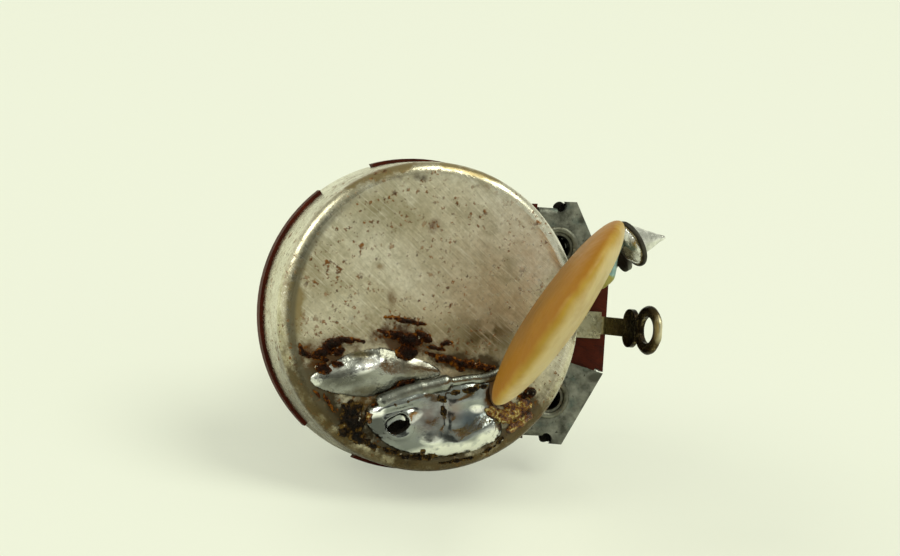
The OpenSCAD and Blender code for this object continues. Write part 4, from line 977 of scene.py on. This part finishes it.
stageLook = {"floor": "#eceee3", "fibre": "#ecefe2", "backdrop": "#edf1dc", "pale": 0.5,
             "rimPoint": (0, -1.6, -12.15), "shaftPoint": (0, 22.2, -3.175),
             "ceiling": 0.46, "horizon": 0.90, "dark": 0.15, "darkWay": (-0.27, -0.96, 0.05),
             "light": "#fbfeea"}


def makeFloor(look):
    # the table that the can's rim and the shaft's tip stand on; from below the camera sees through it
    a, b = Vector(look["rimPoint"]) * mm, Vector(look["shaftPoint"]) * mm
    ahead = (b - a).normalized()
    up = Vector((1, 0, 0)).cross(ahead).normalized()
    shape = bmesh.new()
    lying = Matrix.Translation(a) @ Matrix((Vector((1, 0, 0)), ahead, up)).transposed().to_4x4()
    bmesh.ops.create_grid(shape, x_segments=4, y_segments=4, size=0.9, matrix=lying)
    mesh = bpy.data.meshes.new("floor")
    shape.to_mesh(mesh)
    shape.free()
    floor = bpy.data.objects.new("floor", mesh)
    bpy.context.scene.collection.objects.link(floor)
    finish, tree, shader, place = newFinish("pale paper")
    tone = laidOver(look["floor"], look["fibre"], cloud(place, 40, 0.35, 0.65))
    setSockets(tree, shader, {"Base Color": tone, "Roughness": 0.9, "Specular IOR Level": 0.0})
    # the camera sees it paler than it is lit, so the shadow on it stays faint
    seen = addNode(tree, "LightPath", output="Is Camera Ray")
    seen = addNode(tree, "Math", {0: seen, 1: look["pale"]}, operation="MULTIPLY")
    glow = addNode(tree, "Emission", {"Color": look["backdrop"]})
    lit = addNode(tree, "MixShader", {0: seen, 1: shader.outputs[0], 2: glow})
    side = addNode(tree, "NewGeometry", output="Backfacing")
    cover = addNode(tree, "MixShader", {0: side, 1: lit, 2: addNode(tree, "BsdfTransparent")})
    tree.links.new(cover, tree.get_output_node("ALL").inputs[0])
    mesh.materials.append(finish)
    return up


def makeWorld(look, up):
    # a pale room: bright round the table, plainer overhead, and dark where the camera stands
    world = bpy.data.worlds.new("studio")
    bpy.context.scene.world = world
    world.use_nodes = True
    tree = world.node_tree
    tree.nodes.clear()
    way = addNode(tree, "TexCoord", output="Generated")
    height = addNode(tree, "VectorMath", {0: way, 1: up}, output="Value", operation="DOT_PRODUCT")
    level = addNode(tree, "MapRange", {"Value": height, "From Min": 0.05, "From Max": 0.55,
                                       "To Min": look["horizon"], "To Max": look["ceiling"]},
                    interpolation_type="SMOOTHSTEP")
    near = addNode(tree, "VectorMath", {0: way, 1: Vector(look["darkWay"]).normalized()}, output="Value",
                   operation="DOT_PRODUCT")
    blob = addNode(tree, "MapRange", {"Value": near, "From Min": 0.90, "From Max": 0.975},
                   interpolation_type="SMOOTHSTEP")
    shade = addNode(tree, "MapRange", {"Value": blob, "To Min": 1.0, "To Max": look["dark"]})
    level = addNode(tree, "Math", {0: level, 1: shade}, operation="MULTIPLY")
    light = addNode(tree, "Background", {"Color": look["light"], "Strength": level})
    seen = addNode(tree, "Background", {"Color": look["backdrop"], "Strength": 1.0})
    cover = addNode(tree, "MixShader", {0: addNode(tree, "LightPath", output="Is Camera Ray"), 1: light,
                                        2: seen})
    addNode(tree, "OutputWorld", {"Surface": cover}, output=None)


def addLamp(name, spot, target, sizeMm, watts, colour):
    data = bpy.data.lights.new(name, "AREA")
    data.shape = "DISK"
    data.size = sizeMm * mm
    data.energy = watts
    data.color = linearColour(colour)[:3]
    lamp = bpy.data.objects.new(name, data)
    lamp.location = Vector(spot) * mm
    lamp.rotation_euler = (Vector(spot) - Vector(target)).to_track_quat("Z", "Y").to_euler()
    bpy.context.scene.collection.objects.link(lamp)


tableUp = makeFloor(stageLook)
makeWorld(stageLook, tableUp)
addLamp("keyLamp", (420, -420, 800), (0, 0, 0), 620, 5.4, "#fcffee")
addLamp("fillLamp", (-650, -250, 500), (0, 0, 0), 500, 2.2, "#fcffee")
print("stage made")
